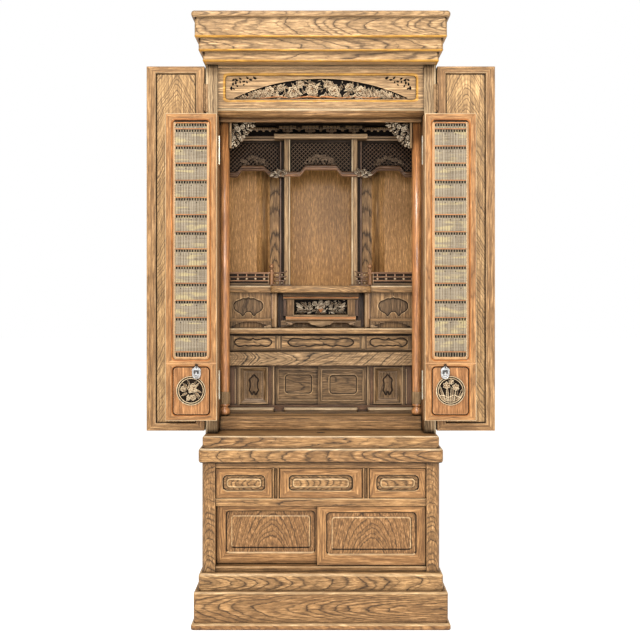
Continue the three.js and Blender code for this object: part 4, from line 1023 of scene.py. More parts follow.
# carved transom: flowers, leaves and blades over a ground painted black as the shade behind the openwork
p = P()
topc, botc = arch_pts(-0.3)
plate(p, topc + botc, 18.4, 20.0, None, 1, 0.2)
rt = random.Random(21)
def arch_h(x):
    half, rise = ARH, ARR
    r = (half * half + rise * rise) / (2 * rise)
    c = ARZ + rise - r
    return max(0.0, c + math.sqrt(max(0, r * r - x * x)) - ARZ)
for x in range(-196, 197, 8):
    hh = arch_h(x)
    leaf(p, x + rt.uniform(-2, 2), ARZ + 1.5, 18, rt.uniform(0.2, 2.9), min(17, 4 + hh * 0.42), 6.5, (0.5, 3.0), 'leaf', 0, rt.uniform(-0.7, 0.7), 1.1, 2.2, 7, 4, False, 0.12)
for x, zf, R in ((-118, 0.52, 11.5), (-62, 0.36, 13), (-48, 0.74, 9), (-20, 0.46, 13.5), (16, 0.70, 9.5), (30, 0.36, 12.5), (66, 0.60, 9.5), (90, 0.42, 12.5), (140, 0.44, 8.5), (-92, 0.66, 8), (-148, 0.42, 7.5)):
    z = ARZ + 2 + arch_h(x) * zf
    for i in range(7):
        a = 2 * PI * i / 7 + rt.uniform(-0.3, 0.3)
        Ln = R * rt.uniform(0.75, 1.15)
        ex, ez = x + math.cos(a) * (R * 0.7 + Ln), z + math.sin(a) * (R * 0.7 + Ln)
        if ARZ + 0.5 < ez < ARZ + arch_h(ex) - 0.8:
            leaf(p, x + math.cos(a) * R * 0.7, z + math.sin(a) * R * 0.7, 17.6, a, Ln, Ln * 0.36, (1.0, 3.4), 'leaf', 0, rt.uniform(-0.6, 0.6), 1.2, 2.4, 7, 4, False, 0.12)
    flower(p, x, z, 17.4, R, rt)
for x in (118, 124, 131, 100, 108):
    for k in range(4):
        a = PI / 2 + (k - 1.5) * 0.34 + rt.uniform(-0.1, 0.1)
        leaf(p, x, ARZ + 2, 17.5, a, arch_h(x) * rt.uniform(0.62, 0.86), 3.2, (1.0, 4.6), 'blade', 0, rt.uniform(-0.5, 0.5), 0.8, 2.2, 8, 4)
for s in (-1, 1):
    for x0 in (176, 160, 148, 134):
        for k in range(5):
            a = PI / 2 + s * (0.15 + 0.32 * (k - 1.4))
            Ln = min(arch_h(s * x0) * 0.95, 22) * rt.uniform(0.75, 1.0)
            ex, ez = s * x0 + math.cos(a) * Ln, ARZ + 1.5 + math.sin(a) * Ln
            if ez < ARZ + arch_h(ex) - 0.3 and ez > ARZ + 0.6:
                leaf(p, s * x0, ARZ + 1.5, 17.6, a, Ln, Ln * 0.34, (0.6, 3.6), 'leaf', 0, s * -0.35, 1.0, 2.2, 7, 4)
    leaf(p, s * 178, ARZ + 2.0, 17.8, PI / 2 - s * 1.35, 18, 3.4, (0.4, 1.8), 'leaf', 0, 0, 0.8, 2.0, 7, 4)
for i in range(110):
    x = rt.uniform(-192, 192)
    hh = arch_h(x)
    z = ARZ + 1 + hh * rt.uniform(0.05, 0.97)
    a = rt.uniform(0, 2 * PI)
    Ln = rt.uniform(6, 13)
    ex, ez = x + math.cos(a) * Ln, z + math.sin(a) * Ln
    if ARZ + 0.8 < ez < ARZ + arch_h(ex) - 0.6 and abs(ex) < 199:
        leaf(p, x, z, 17.6, a, Ln, Ln * rt.uniform(0.24, 0.42), (0.6, 3.6), 'leaf', 0, rt.uniform(-0.9, 0.9), 1.1, 1.5, 7, 4, False, 0.12)
for s in (-1, 1):                                   # a low branch along the foot
    pts = [(s * t, 16.6 - 0.8 * math.sin(t * 0.07), ARZ + 4.2 + 1.6 * math.sin(t * 0.09 + s)) for t in range(0, 186, 6)]
    tube(p, pts, lambda t: 2.3 - 1.3 * t, 7, None, 2)
p.make('transom_carving_relief', 'cabinet', [M_CARVE, M_SHADOW_BLACK, M_EDGE], 'transom_carving', 'carving_wood')

# head rail: a half-round with a fillet, then the stop rail behind it; the half-round's upper band is in a light wood as
# a painted highlight
p = P()
prof = [(24, 1160.5), (24, 1141.5), (14, 1141.5)] + [(10.5 - 9.5 * math.sin(math.radians(a)), 1151 - 9.5 * math.cos(math.radians(a))) for a in range(0, 181, 12)]
bar_x(p, prof, -IN_X, IN_X, plain_grain('x', 'y', (0, 1, 1151)), lambda y, z: 2 if z > 1154.6 and y < 11 else 0, True)
board(p, -IN_X, IN_X, 20, 60, 1146.2, 1160.4, plain_grain('x', 'y', (0, 20, 1150)), 0.5)
board(p, -249.5, 249.5, 60.3, 95, 1147, 1160.1, plain_grain('x', 'y', (0, 60, 1150)), 0.5, 1)
board(p, -IN_X, IN_X, 40, 52, 1137, 1147.5, plain_grain('x', 'y', (0, 40, 1142)), 1.2)
p.make('door_head_rail_wood', 'cabinet', [M_CASE, M_SHADE, M_HIGHLIGHT_WOOD], 'door_head_rail', 'case_wood')

p = P()
board(p, -IN_X, IN_X, 44, 59.7, 421.3, 442, plain_grain('x', 'y', (0, 44, 432)), 1.4)
board(p, -IN_X, IN_X, 50, 59.9, 440, 451.5, plain_grain('x', 'y', (0, 50, 446)), 1.4)
board(p, -249.5, 249.5, 60.3, 104.5, 442.3, 451.5, plain_grain('x', 'z', (0, 60, 450)), 0.5)
board(p, -IN_X, IN_X, 59.5, 70, 442.3, 451.5, plain_grain('x', 'z', (0, 60, 450)), 0.2)
p.make('door_sill_wood', 'cabinet', [M_CASE], 'door_sill', 'case_wood')

# latch plate let into the ledge, where the doors' bolt drops
p = P()
oval = [(9.2 * math.cos(2 * PI * i / 28), 4.4 * math.sin(2 * PI * i / 28)) for i in range(28)]
base = len(p.v)
for k_, (sc, z) in enumerate(((1.0, 420.6), (1.0, 421.5), (0.93, 421.9), (0.62, 421.9), (0.58, 420.8), (0.0001, 420.8))):
    p.v += [(x * sc, 8 + y * sc, z) for x, y in oval]
for k_ in range(5):
    for i in range(28):
        j = (i + 1) % 28
        p.face((base + k_ * 28 + i, base + k_ * 28 + j, base + (k_ + 1) * 28 + j, base + (k_ + 1) * 28 + i), None, 0, False)
p.face([base + i for i in range(28)][::-1], None, 0)
p.make('latch_plate', 'cabinet', [M_LATCH], (), 'latch_metal')

# ================================================================== outer doors
OW, OT = 131.1, 21.0
for side, s in (('left', -1), ('right', 1)):
    x0, x1 = 264.3, 264.3 + OW
    ya, yb = -1.0, 20.0
    yc, yd = 20.6, 41.6
    for lf, f0, f1, fin, fout in (('a', ya, yb, 6.5, 4.0), ('b', yc, yd, 4.0, 6.5)):
        # f0: the face towards the front at rest; f1: the face towards the back
        p = P()
        N = 4
        z0, z1 = 427.0, 1254.0
        xa, xb, za, zb = x0 + 20, x1 - 21.5, z0 + 18, z1 - 16
        outer_b, outer_f = 1.0, 1.0
        L = []
        L.append((rr(xa, xb, za, zb, 0.4, N), f1 - fout))
        L.append((rr(xa, xb, za, zb, 0.4, N), f1 - 0.8))
        L.append((rr(xa - 0.8, xb + 0.8, za - 0.8, zb + 0.8, 0.4, N), f1))
        L.append((rr(x0 + outer_b, x1 - outer_b, z0 + outer_b, z1 - outer_b, 0.3, N), f1))
        L.append((rr(x0, x1, z0, z1, 0.3, N), f1 - outer_b))
        L.append((rr(x0, x1, z0, z1, 0.3, N), f0 + outer_f))
        L.append((rr(x0 + outer_f, x1 - outer_f, z0 + outer_f, z1 - outer_f, 0.3, N), f0))
        L.append((rr(xa - 2.2, xb + 2.2, za - 2.2, zb + 2.2, 0.4, N), f0))
        L.append((rr(xa - 1.6, xb + 1.6, za - 1.6, zb + 1.6, 0.4, N), f0 + 0.9))
        L.append((rr(xa - 0.4, xb + 0.4, za - 0.4, zb + 0.4, 0.4, N), f0 + 2.0))
        L.append((rr(xa, xb, za, zb, 0.4, N), f0 + fin))
        mg = {'left': plain_grain('z', 'y', (x0, f0, 840)), 'right': plain_grain('z', 'y', (x1, f0, 840)),
              'top': plain_grain('x', 'y', (330, f0, z1)), 'bottom': plain_grain('x', 'y', (330, f0, z0))}
        pg = grain('z', 'y', ((xa + xb) / 2, f0, 840), 60, 0.085, 2, 400 + 170 * (s + 2) + (900 if lf == 'b' else 0))
        pg2 = grain('z', 'y', ((xa + xb) / 2, f1, 840), 74, 0.085, -3)
        # the band going down from the front face into the panel's recess is in a light wood as a painted highlight
        loft(p, L, [(mg, 3, False), (mg, 0, False)] + [(mg, 0, False)] * 5 + [(mg, 4, False), (mg, 0, False)] + [(mg, 3, False)], N, (pg2, 3), (pg, 3), mirror=(s < 0))
        # the figured panel, on both faces; its recess walls and floors are painted as shade, which shows as a dark
        # quirk all round it
        for ya_, yb_, sg_ in ((f0 + fin - 2.0, f0 + fin + 0.6, 1), (f1 - fout - 0.6, f1 - fout + 1.6, -1)):
            figured(p, *sorted((s * (xa + 1.7), s * (xb - 1.7))), ya_, yb_, za + 1.7, zb - 1.7, s * (xa + 42 + (6 if s > 0 else 0)), 0.31, 0.60, 0.006, 2,
                    off=0.05 * (s + 2) + (0.23 if lf == 'b' else 0) + (0.1 if sg_ < 0 else 0))
        p.make('outer_door_%s_%s_wood' % (side, lf), 'outer_%s_%s' % (side, lf), [M_OUT, M_OUT, M_OUTP, M_SHADE, M_HIGHLIGHT_WOOD], 'outer_door_%s_%s' % (side, lf), 'case_wood')

# ================================================================== inner doors
IW, IT = 114.6, 19.0
M_GAUZE = Mat('gauze')
g = M_GAUZE
gx, gz, gl = g.sep(g.gco())                  # metres across the screen, up it, and which door
# fine warp and weft
warp = g.math('ABSOLUTE', g.math('SINE', g.math('MULTIPLY', gx, 2 * PI / 0.0030)))
weft = g.math('ABSOLUTE', g.math('SINE', g.math('MULTIPLY', gz, 2 * PI / 0.0026)))
weave = g.math('MULTIPLY', warp, weft)
stripe = g.noise(g.comb(g.math('MULTIPLY', gx, 260.0), g.math('MULTIPLY', gz, 3.0), gl), 1.0, 2.0)
slub = g.noise(g.comb(g.math('MULTIPLY', gx, 20.0), g.math('MULTIPLY', gz, 420.0), gl), 1.0, 2.0)
cloud = g.noise(g.comb(g.math('MULTIPLY', gx, 30.0), g.math('MULTIPLY', gz, 62.0), gl), 1.0, 2.5, 0.5)
mist = g.ramp(cloud, [(0.46, 0.0), (0.60, 1.0)])
bands = g.ramp(g.noise(g.comb(g.math('MULTIPLY', gx, 7.0), g.math('MULTIPLY', gz, 150.0), gl), 1.0, 1.0), [(0.47, 0.0), (0.53, 1.0)])
goldm = g.math('MULTIPLY', g.math('MULTIPLY', mist, bands), g.range(weave, 0.1, 0.8, 0.35, 1.0), clamp=True)
ground = g.mix(g.ramp(stripe, [(0.35, 0.0), (0.68, 1.0)]), (0.350, 0.280, 0.185), (0.165, 0.122, 0.074))
ground = g.mix(g.range(slub, 0.35, 0.7, 0.0, 0.5), ground, (0.440, 0.365, 0.255))
ground = g.mix(g.math('MULTIPLY', g.math('SUBTRACT', 1.0, weave), 0.28), ground, (0.090, 0.066, 0.042))
col = g.mix(g.math('MULTIPLY', goldm, 0.80), ground, (0.600, 0.470, 0.200))
g.put(g.b.inputs['Base Color'], col)
g.b.inputs['Roughness'].default_value = 0.62
g.b.inputs['Sheen Weight'].default_value = 0.25
g.bump(weave, 0.00025, 0.7)
M_GAUZE = g.m

for side, s in (('left', -1), ('right', 1)):
    x0, x1 = 231.3, 231.3 + IW
    yb = -1.5
    ya = yb - IT
    yd = ya - 0.6
    yc = yd - IT
    for lf, F, D in (('a', ya, yb), ('b', yc, yd)):
        # F: the face towards the front at rest, D: the face towards the back
        back_out = lf == 'a'                     # leaf a's outer face is the one towards the back
        rF, rD = (8.0, 5.0) if back_out else (5.0, 8.0)
        p = P()
        N = 8
        xa, xb = x0 + 15.5, x1 - 15.5
        zm = 583.2
        z0, z1 = 455.5, 1139.0
        mgU = {'left': rnd_grain('z', 'y', (x0, F, 840), (70, 110), (0.01, 0.02), 40), 'right': rnd_grain('z', 'y', (x1, F, 840), (70, 110), (0.01, 0.02), 40),
               'top': rnd_grain('x', 'y', (288, F, z1), (60, 100), (0.02, 0.04), 30), 'bottom': rnd_grain('x', 'y', (288, F, zm), (60, 100), (0.02, 0.04), 30)}
        mgL = dict(mgU)
        mgL['bottom'] = rnd_grain('x', 'y', (288, F, z0), (60, 100), (0.02, 0.04), 30)
        mgL['top'] = mgU['bottom']
        c = 1.2
        # upper frame, round the screen: a closed ring through both faces
        def outer(q, y, lo, hi):
            return (rr(x0 + q, x1 - q, (z0 + q) if lo else zm, (z1 - q) if hi else zm, 0.25, N), y)
        def hole(q, y, za, zb, r=8.5):
            return (rr(xa + q, xb - q, za + q, zb - q, r - q * 0.5, N), y)
        za, zb = 590.5, 1124.5
        L = [hole(6.6, D - rD, za, zb), hole(0, D - rD, za, zb), hole(0, D - 1.2, za, zb), hole(-0.9, D, za, zb), outer(c, D, False, True), outer(0, D - c, False, True),
             outer(0, F + c, False, True), outer(c, F, False, True),
             hole(-2.8, F, za, zb, 10), hole(-2.2, F + 0.5, za, zb, 10), hole(-1.0, F + 1.2, za, zb, 9.6), hole(0.6, F + 2.6, za, zb, 9), hole(1.0, F + rF - 1.4, za, zb, 8.5), hole(6.6, F + rF - 1.4, za, zb, 8.5)]
        # the front chamfer is in a light wood as a painted highlight, and the screen rebate's wall is painted black as
        # shade
        bands = [(mgU, 0, False)] * 6 + [(mgU, 4, False), (mgU, 0, False)] + [(mgU, 1, True)] * 3 + [(mgU, 5, True), (mgU, 7, False), (mgU, 7, False)]
        loft(p, L, bands, N, closed=True, mirror=(s < 0))
        za, zb = 467.0, 576.0
        pF = pD = 3.5
        if lf == 'a':
            L = [hole(0, D - pD, za, zb, 9), hole(0, D - 1, za, zb, 9), hole(-0.9, D, za, zb, 9), outer(c, D, True, False), outer(0, D - c, True, False),
                 outer(0, F + c, True, False), outer(c, F, True, False), hole(-1.2, F, za, zb, 9), hole(-0.5, F + 0.6, za, zb, 9), hole(0, F + 1.6, za, zb, 9), hole(0.4, F + pF, za, zb, 9)]
        else:
            L = [hole(0, D - pD, za, zb, 9), hole(0, D - 1, za, zb, 9), hole(-0.9, D, za, zb, 9), outer(c, D, True, False), outer(0, D - c, True, False),
                 outer(0, F + c, True, False), outer(c, F, True, False), hole(-1.8, F, za, zb, 10), hole(-1.2, F + 0.4, za, zb, 10), hole(-0.3, F + 1.3, za, zb, 9.4), hole(0.4, F + pF + 1.6, za, zb, 9), hole(2.2, F + pF + 1.6, za, zb, 8.6), hole(2.6, F + pF, za, zb, 8.4)]
        pg = grain('z', 'y', (288, F, 520), 55, 0.05, 6)
        loft(p, L, [(mgL, 0, False)] * 5 + [(mgL, 4, False), (mgL, 0, False)] + [(mgL, 1, True)] * 3 + ([(mgL, 5, False), (pg, 2, False)] if lf == 'b' else []), N, (pg, 2), (pg, 2), mirror=(s < 0))
        # lattice: fine upright bars, and thin cross bars with a row of slots under each painted black as shadow; a
        # black strip under the top is painted shadow, a light strip down one inner edge a painted highlight
        zL0, zL1 = 596.0, 1118.4
        xL0, xL1 = xa + 6.3, xb - 6.3
        ymid = F + rF
        nb = 12
        pit = (xL1 - xL0) / nb
        for i in range(nb + 1):
            xc = min(max(xL0 + pit * i, xL0 + 0.5), xL1 - 0.5)
            board(p, *sorted((s * (xc - 0.4), s * (xc + 0.4))), ymid - 1.5, ymid - 0.2, zL0, zL1, None, 0.2, 3)
        board(p, *sorted((s * (xL0 - 2.6), s * (xL1 + 2.6))), ymid - 3.1, ymid - 1.0, 1121.0, 1123.8, None, 0.2, 5)
        board(p, *sorted((s * (xL0 - 1), s * (xL1 + 1))), ymid - 2.2, ymid - 0.4, 1117.6, 1119.6, None, 0.3, 1)
        board(p, *sorted((s * (xL1 - 0.2), s * (xL1 + 1.3))), ymid - 2.6, ymid - 1.0, 592.0, 1119.5, None, 0.3, 4)
        zrows = [1105.2 - 38.2 * k for k in range(14)]
        for k, zr in enumerate(zrows):
            if zr < 600:
                break
            board(p, *sorted((s * xL0, s * xL1)), ymid - 2.0, ymid - 0.6, zr - 0.85, zr + 0.85, None, 0.3, 1)
            for i in range(nb):
                xc = xL0 + pit * (i + 0.5)
                board(p, s * xc - 1.45, s * xc + 1.45, ymid - 0.85, ymid + 0.3, zr - 6.8, zr - 1.6, None, 0.1, 5)
            for i in ((4, 8) if k % 2 == 0 else (2, 6, 10)):
                dome(p, s * (xL0 + pit * i), zr - 11.5, ymid - 1.2, 1.15, 0.5, 5, 8, 2)
        for i in range(nb):
            xc = xL0 + pit * (i + 0.5)
            board(p, s * xc - 1.45, s * xc + 1.45, ymid - 0.85, ymid + 0.3, 1111.0, 1117.0, None, 0.1, 5)
            board(p, s * xc - 1.45, s * xc + 1.45, ymid - 0.85, ymid + 0.3, 597.5, 602.5, None, 0.1, 5)
        if lf == 'b':                            # the roundel, pierced through the lower panel
            # the roundel's ground is painted black as the shade in the piercing, and its two rings are in a light wood
            # as painted highlights
            rc = random.Random(31 if s < 0 else 57)
            cx, cz, R, yp = s * 289.0, 522.0, 32.6, F + pF
            bg = [(cx + (R - 0.5) * math.cos(2 * PI * i / 40), cz + (R - 0.5) * math.sin(2 * PI * i / 40)) for i in range(40)]
            plate(p, bg, yp - 0.5, yp + 0.3, None, 5, 0.1)
            ring(p, cx, cz, yp - 2.2, yp + 0.2, R - 1.8, R, 48, 4, pg)
            ring(p, cx, cz, yp - 2.0, yp + 0.2, R - 6.0, R - 4.2, 48, 4, pg)
            if s < 0:
                for i in range(11):
                    a = 2 * PI * i / 11 + 0.2
                    leaf(p, cx + math.cos(a) * 9, cz + math.sin(a) * 9, yp, a + rc.uniform(-0.4, 0.4), 16.5, 4.6, (0.4, 1.4), 'leaf', 6, rc.uniform(-0.6, 0.6), 1.0, 2.0, 7, 4, False, 0.12)
                flower(p, cx + 3, cz + 5, yp - 0.2, 10.5, rc, 6, False, 0.42)
                for a, q in ((2.9, 18), (5.0, 16)):
                    flower(p, cx + math.cos(a) * q, cz + math.sin(a) * q, yp - 0.2, 6.5, rc, 6, False, 0.36)
            else:
                for i in range(13):
                    x_ = cx - 20 + 40 * i / 12
                    a = PI / 2 + (6 - i) * 0.105
                    zb_ = cz - math.sqrt(max(0, 27 ** 2 - (x_ - cx) ** 2))
                    leaf(p, x_, zb_, yp, a, 31 + rc.uniform(-6, 12) - abs(i - 6) * 1.6, 3.0, (0.4, 1.8), 'blade', 6, rc.uniform(-0.35, 0.35), 0.7, 2.0, 9, 4)
                for fx, fz, q in ((-9, 12, 8.5), (11, 8, 8.0), (1, 20, 6.0)):
                    for i in range(6):
                        a = 2 * PI * i / 6 + 0.5
                        leaf(p, cx + fx, cz + fz, yp - 0.8, a, q, q * 0.62, (0.6, 2.4), 'petal', 6, 0.2, 0.7, 2.0, 6, 4)
                    dome(p, cx + fx, cz + fz, yp - 1.6, 1.4, 1.2, 6, 8, 3)
                pts = [(cx - 25 + 50 * t / 12, yp - 1.0, cz - 12 + 2.4 * math.sin(t)) for t in range(13)]
                tube(p, pts, 0.8, 6, None, 6)
        p.make('inner_door_%s_%s_wood' % (side, lf), 'inner_%s_%s' % (side, lf), [M_IDOOR, M_EDGE, M_WARM, M_BAR, M_HIGHLIGHT_WOOD, M_SHADOW_BLACK, M_CARVE, M_DOOR],
               'inner_door_%s_%s' % (side, lf), 'case_wood')
        # the gauze, stretched across the opening
        q = P()
        xa_, xb_, za_, zb_ = xa - 2, xb + 2, 588.5, 1126.5
        nx, nz = 20, 90
        base = len(q.v)
        rg = random.Random(3)
        for sgn, yy in ((0, ymid + 0.1), (1, ymid + 0.6)):
            for j in range(nz + 1):
                for i in range(nx + 1):
                    x = xa_ + (xb_ - xa_) * i / nx
                    z = za_ + (zb_ - za_) * j / nz
                    q.v.append((s * x, yy + 0.12 * math.sin(i * 1.3 + j * 0.31), z))
        M_ = (nx + 1) * (nz + 1)
        gg = lambda x, y, z: ((x - s * xa_) / 1000, (z - za_) / 1000, 0.37 * s + (1.9 if lf == 'a' else 0.0))
        def qf(ids, flip):
            q.face(ids[::-1] if flip != (s < 0) else ids, gg, 0, True)
        for j in range(nz):
            for i in range(nx):
                a = base + j * (nx + 1) + i
                b, c2, d = a + 1, a + nx + 2, a + nx + 1
                qf((a, b, c2, d), False)
                qf((a + M_, b + M_, c2 + M_, d + M_), True)
        edge = [base + i for i in range(nx + 1)] + [base + j * (nx + 1) + nx for j in range(1, nz + 1)] \
            + [base + nz * (nx + 1) + i for i in range(nx - 1, -1, -1)] + [base + j * (nx + 1) for j in range(nz - 1, 0, -1)]
        for i, a in enumerate(edge):
            b = edge[(i + 1) % len(edge)]
            qf((a, a + M_, b + M_, b), False)
        ob = q.make('door_gauze_%s_%s' % (side, lf), 'inner_%s_%s' % (side, lf), [M_GAUZE], (), 'door_gauze')
    # drop pull: an engraved shield, two domed pins, and a drop hung from a loop
    p = P()
    px = s * (x0 + 45.2)
    sh = [(0, 15.0), (2.6, 13.6), (5.4, 11.2), (9.0, 9.0), (10.3, 6.2), (9.6, 2.8), (10.0, -1.8), (9.0, -6.0), (8.2, -9.4), (5.6, -12.4), (2.6, -13.6), (0, -14.6)]
    sh = sh + [(-x, z) for x, z in sh[::-1][1:-1]]
    zc_ = 562.5
    plate(p, [(px + x, zc_ + z) for x, z in sh], yc - 1.3, yc - 0.2, None, 0, 0.5)
    plate(p, [(px + x * 0.5, zc_ + z * 0.7) for x, z in sh], yc - 1.2, yc + 3.0, None, 0, 0.5)
    for k_, (qa, qb) in enumerate(((0.86, 0.82),)):       # a raised border
        pts = [(px + x * qa, yc - 1.5, zc_ + z * qa) for x, z in sh + sh[:1]]
        tube(p, pts, 0.42, 6, None, 0)
    for i in range(-3, 4):                               # engraved diamonds: dark lines both ways
        for sg in (-1, 1):
            pts = [(px + i * 2.3 + sg * 4.4 * t, yc - 1.42, zc_ + 1.5 + 4.4 * t) for t in (-1, -0.33, 0.33, 1)]
            pts = [q for q in pts if abs(q[0] - px) < 7.6 and zc_ - 4 < q[2] < zc_ + 8]
            if len(pts) > 1:
                tube(p, pts, 0.42, 5, None, 1)
    dome(p, px, zc_ + 11.0, yc - 1.2, 1.5, 1.5, 1, 12, 3)
    dome(p, px, zc_ - 11.0, yc - 1.2, 1.2, 1.0, 1, 12, 3)
    tube(p, [(px + 2.4 * math.cos(a), yc - 1.4, zc_ + 16.6 + 2.4 * math.sin(a)) for a in [2 * PI * i / 16 for i in range(17)]], 0.75, 6, None, 1)
    drop = [(0, 4.6), (1.7, 3.2), (2.4, 0.6), (4.2, -3.2), (4.7, -6.0), (3.0, -8.4), (0, -9.6)]
    drop = drop + [(-x, z) for x, z in drop[::-1][1:-1]]
    plate(p, [(px + x, zc_ - 1.6 + z) for x, z in drop], yc - 4.2, yc - 2.0, None, 0, 0.8)
    dome(p, px + 1.6, zc_ - 6.4, yc - 4.0, 1.3, 0.7, 1, 12, 3)
    dome(p, px - 1.6, zc_ - 6.4, yc - 4.0, 1.3, 0.7, 1, 12, 3)
    p.make('door_pull_%s_silver' % side, 'inner_%s_b' % side, [M_SILVER, M_LATCH], 'door_pull_' + side, 'pull_metal')

# outer hinges: a knuckled barrel and a slim leaf with three pins
for side, s in (('left', -1), ('right', 1)):
    for where in ('upper', 'lower'):
        cad = 'outer_hinge_%s_%s' % (side, where)
        zz = [(bpy.data.objects[cad].matrix_world @ v.co).z * 1000 for v in bpy.data.objects[cad].data.vertices]
        za, zb = min(zz), max(zz)
        hp = P()
        prof = [(1.5, za), (2.1, za + 0.5)]
        for k in range(1, 5):
            zk = za + (zb - za) * k / 5
            prof += [(2.2, zk - 0.9), (1.75, zk - 0.35), (1.75, zk + 0.35), (2.2, zk + 0.9)]
        prof += [(2.1, zb - 0.5), (1.5, zb)]
        lathe(hp, prof, s * 264, -2.2, 20, None, 0)
        board(hp, s * 256.2, s * 263.6, -1.35, -0.25, za + 0.4, zb - 0.4, None, 0.3)
        for k in (0.14, 0.5, 0.86):
            dome(hp, s * 259.2, za + (zb - za) * k, -1.2, 1.1, 0.45, 0, 10, 3)
        hp.make(cad + '_metal', 'cabinet', M_BRONZE, cad, 'hinge_brass')
# the other hinges keep their solids, with their arrises taken off
for name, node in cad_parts.items():
    if 'hinge' in name and not (name.startswith('outer_hinge')):
        ob = node if isinstance(node, bpy.types.Object) else bpy.data.objects[name]
        for sl in ob.material_slots:
            sl.material = M_BRONZE if name.startswith('outer') else M_BRASS
        w = ob.modifiers.new('weld', 'WELD'); w.merge_threshold = 1e-5
        bv = ob.modifiers.new('bevel', 'BEVEL'); bv.width = 0.0003; bv.segments = 2; bv.limit_method = 'ANGLE'; bv.angle_limit = math.radians(40)

# ================================================================== inside: columns and corner brackets
def X_at(px, Y):
    return (px - 320.8) * 2.27 * (1 + Y / 1900)


def Z_at(py, Y):
    return 735.13 - (py - 295) * 2.27 * (1 + Y / 1900)


for side, s in (('left', -1), ('right', 1)):
    p = P()
    cg = plain_grain('z', 'y', (s * 226.8, 75, 800))
    lathe(p, [(8.6, 451.8), (10.4, 452.8), (11.9, 455), (12.6, 458), (12.8, 461), (12.3, 464.4), (10.8, 467.4), (8.8, 469.6), (7.9, 471.0), (7.8, 472.6), (8.6, 473.6), (10.9, 474.4), (11.7, 475.4), (11.8, 476.6),
              (11.3, 477.8), (10.8, 478.5), (11.2, 479.2)], s * 226.8, 75, 40, cg, 0)
    lathe(p, [(11.0, 479.0), (12.1, 479.6), (12.5, 481), (12.5, 504.6), (12.2, 506.2), (11.3, 507.2), (11.0, 507.4)], s * 226.8, 75, 96, cg, 1,
          lambda z, a: 1 - (0.075 * (0.5 - 0.5 * math.cos(16 * a)) if 480.5 < z < 505.5 else 0))
    lathe(p, [(11.0, 507.2), (11.35, 507.8), (11.5, 508.6), (11.5, 800), (11.5, 1146.7)], s * 226.8, 75, 48, cg, 0)
    p.make('column_%s_turned' % side, 'cabinet', [M_RED, M_POST], 'column_' + side, 'red_wood')

    # openwork bracket: a plain edge at the side and the top, and curling leaves, over a backing painted black as the
    # shade behind the openwork
    p = P()
    rb = random.Random(77 + s)
    sx = lambda x: s * x
    xo, zt, xi, zb = 215.1, 1146.7, 148.0, 1080.0
    back = [(s * xo, zt), (s * xi, zt), (s * (xi + 9), zt - 9), (s * 168, zt - 15), (s * 172, zt - 27), (s * 184, zt - 34), (s * 190, zt - 45), (s * 199, zt - 50), (s * 203, zt - 60), (s * xo, zb)]
    plate(p, back, 76.4, 77.8, None, 2, 0.2)
    board(p, s * (xo - 5.2), s * xo, 68.2, 78, zb + 1, zt, plain_grain('z', 'y', (s * xo, 68, 1100)), 0.8, 0)
    board(p, s * (xi + 1), s * (xo - 5.2), 68.2, 78, zt - 4.6, zt, plain_grain('x', 'y', (s * xo, 68, 1100)), 0.8, 0)
    mr = s < 0
    for (x, z, a, R, tn, hd) in ((205, 1132, 2.4, 5.2, 1.1, 1), (197, 1121, 3.6, 5.0, 1.2, -1), (186, 1137, 3.0, 5.2, 1.2, 1), (176, 1131, 3.6, 4.6, 1.1, -1),
                                 (206, 1112, 2.0, 5.0, 1.2, -1), (204, 1099, 4.2, 4.6, 1.1, 1), (190, 1112, 4.0, 4.6, 1.2, 1), (182, 1121, 2.6, 4.4, 1.1, 1),
                                 (168, 1139, 3.3, 4.2, 1.0, 1), (208, 1092, 4.4, 3.8, 1.0, -1), (195, 1103, 4.2, 4.0, 1.1, -1), (172, 1121, 3.4, 3.6, 1.0, 1),
                                 (163, 1130, 3.4, 4.0, 1.0, -1), (181, 1111, 3.9, 4.2, 1.1, 1), (190, 1099, 4.3, 4.2, 1.1, -1), (198, 1090, 4.1, 3.6, 1.0, 1)):
        scroll(p, x, z, 74.0, a, R, tn, 1.25, 1, mr, hd, 2.2)
    for (x, z, a, L_) in ((208, 1140, 3.6, 12), (200, 1140, 3.9, 10), (192, 1132, 3.3, 11), (183, 1142, 3.4, 11), (172, 1142, 3.2, 12), (162, 1143, 3.25, 12), (209, 1126, 4.0, 11), (201, 1116, 3.6, 11),
                          (193, 1120, 4.2, 10), (186, 1126, 3.7, 10), (209, 1108, 4.3, 11), (201, 1104, 4.4, 10), (209, 1096, 4.6, 11), (180, 1117, 3.9, 9), (189, 1107, 4.5, 9), (176, 1128, 3.6, 9),
                          (197, 1130, 4.6, 9), (188, 1136, 4.4, 8), (204, 1122, 5.0, 8), (166, 1134, 3.7, 9), (206, 1086, 4.9, 6),
                          (170, 1126, 3.9, 10), (178, 1120, 4.0, 11), (184, 1112, 4.1, 10), (192, 1106, 4.2, 11), (196, 1098, 4.3, 10), (161, 1136, 3.6, 9), (203, 1092, 4.3, 9), (174, 1134, 4.3, 10)):
        ex, ez = x + math.cos(a) * L_, z + math.sin(a) * L_
        leaf(p, x, z, 73.4, a, L_, L_ * 0.42, (1.4, 5.0), 'leaf', 1, rb.uniform(-0.7, 0.7), 1.2, 2.6, 7, 4, mr, 0.12)
    for (x, z, q) in ((196, 1126, 6.4), (184, 1131, 5.4), (205, 1106, 5.2)):
        flower(p, x, z, 72.6, q, rb, 1, mr, 0.6)
    p.make('corner_bracket_%s_relief' % side, 'cabinet', [M_POST, M_CARVE_IN, M_SHADOW_BLACK], 'corner_bracket_' + side, 'carving_wood')


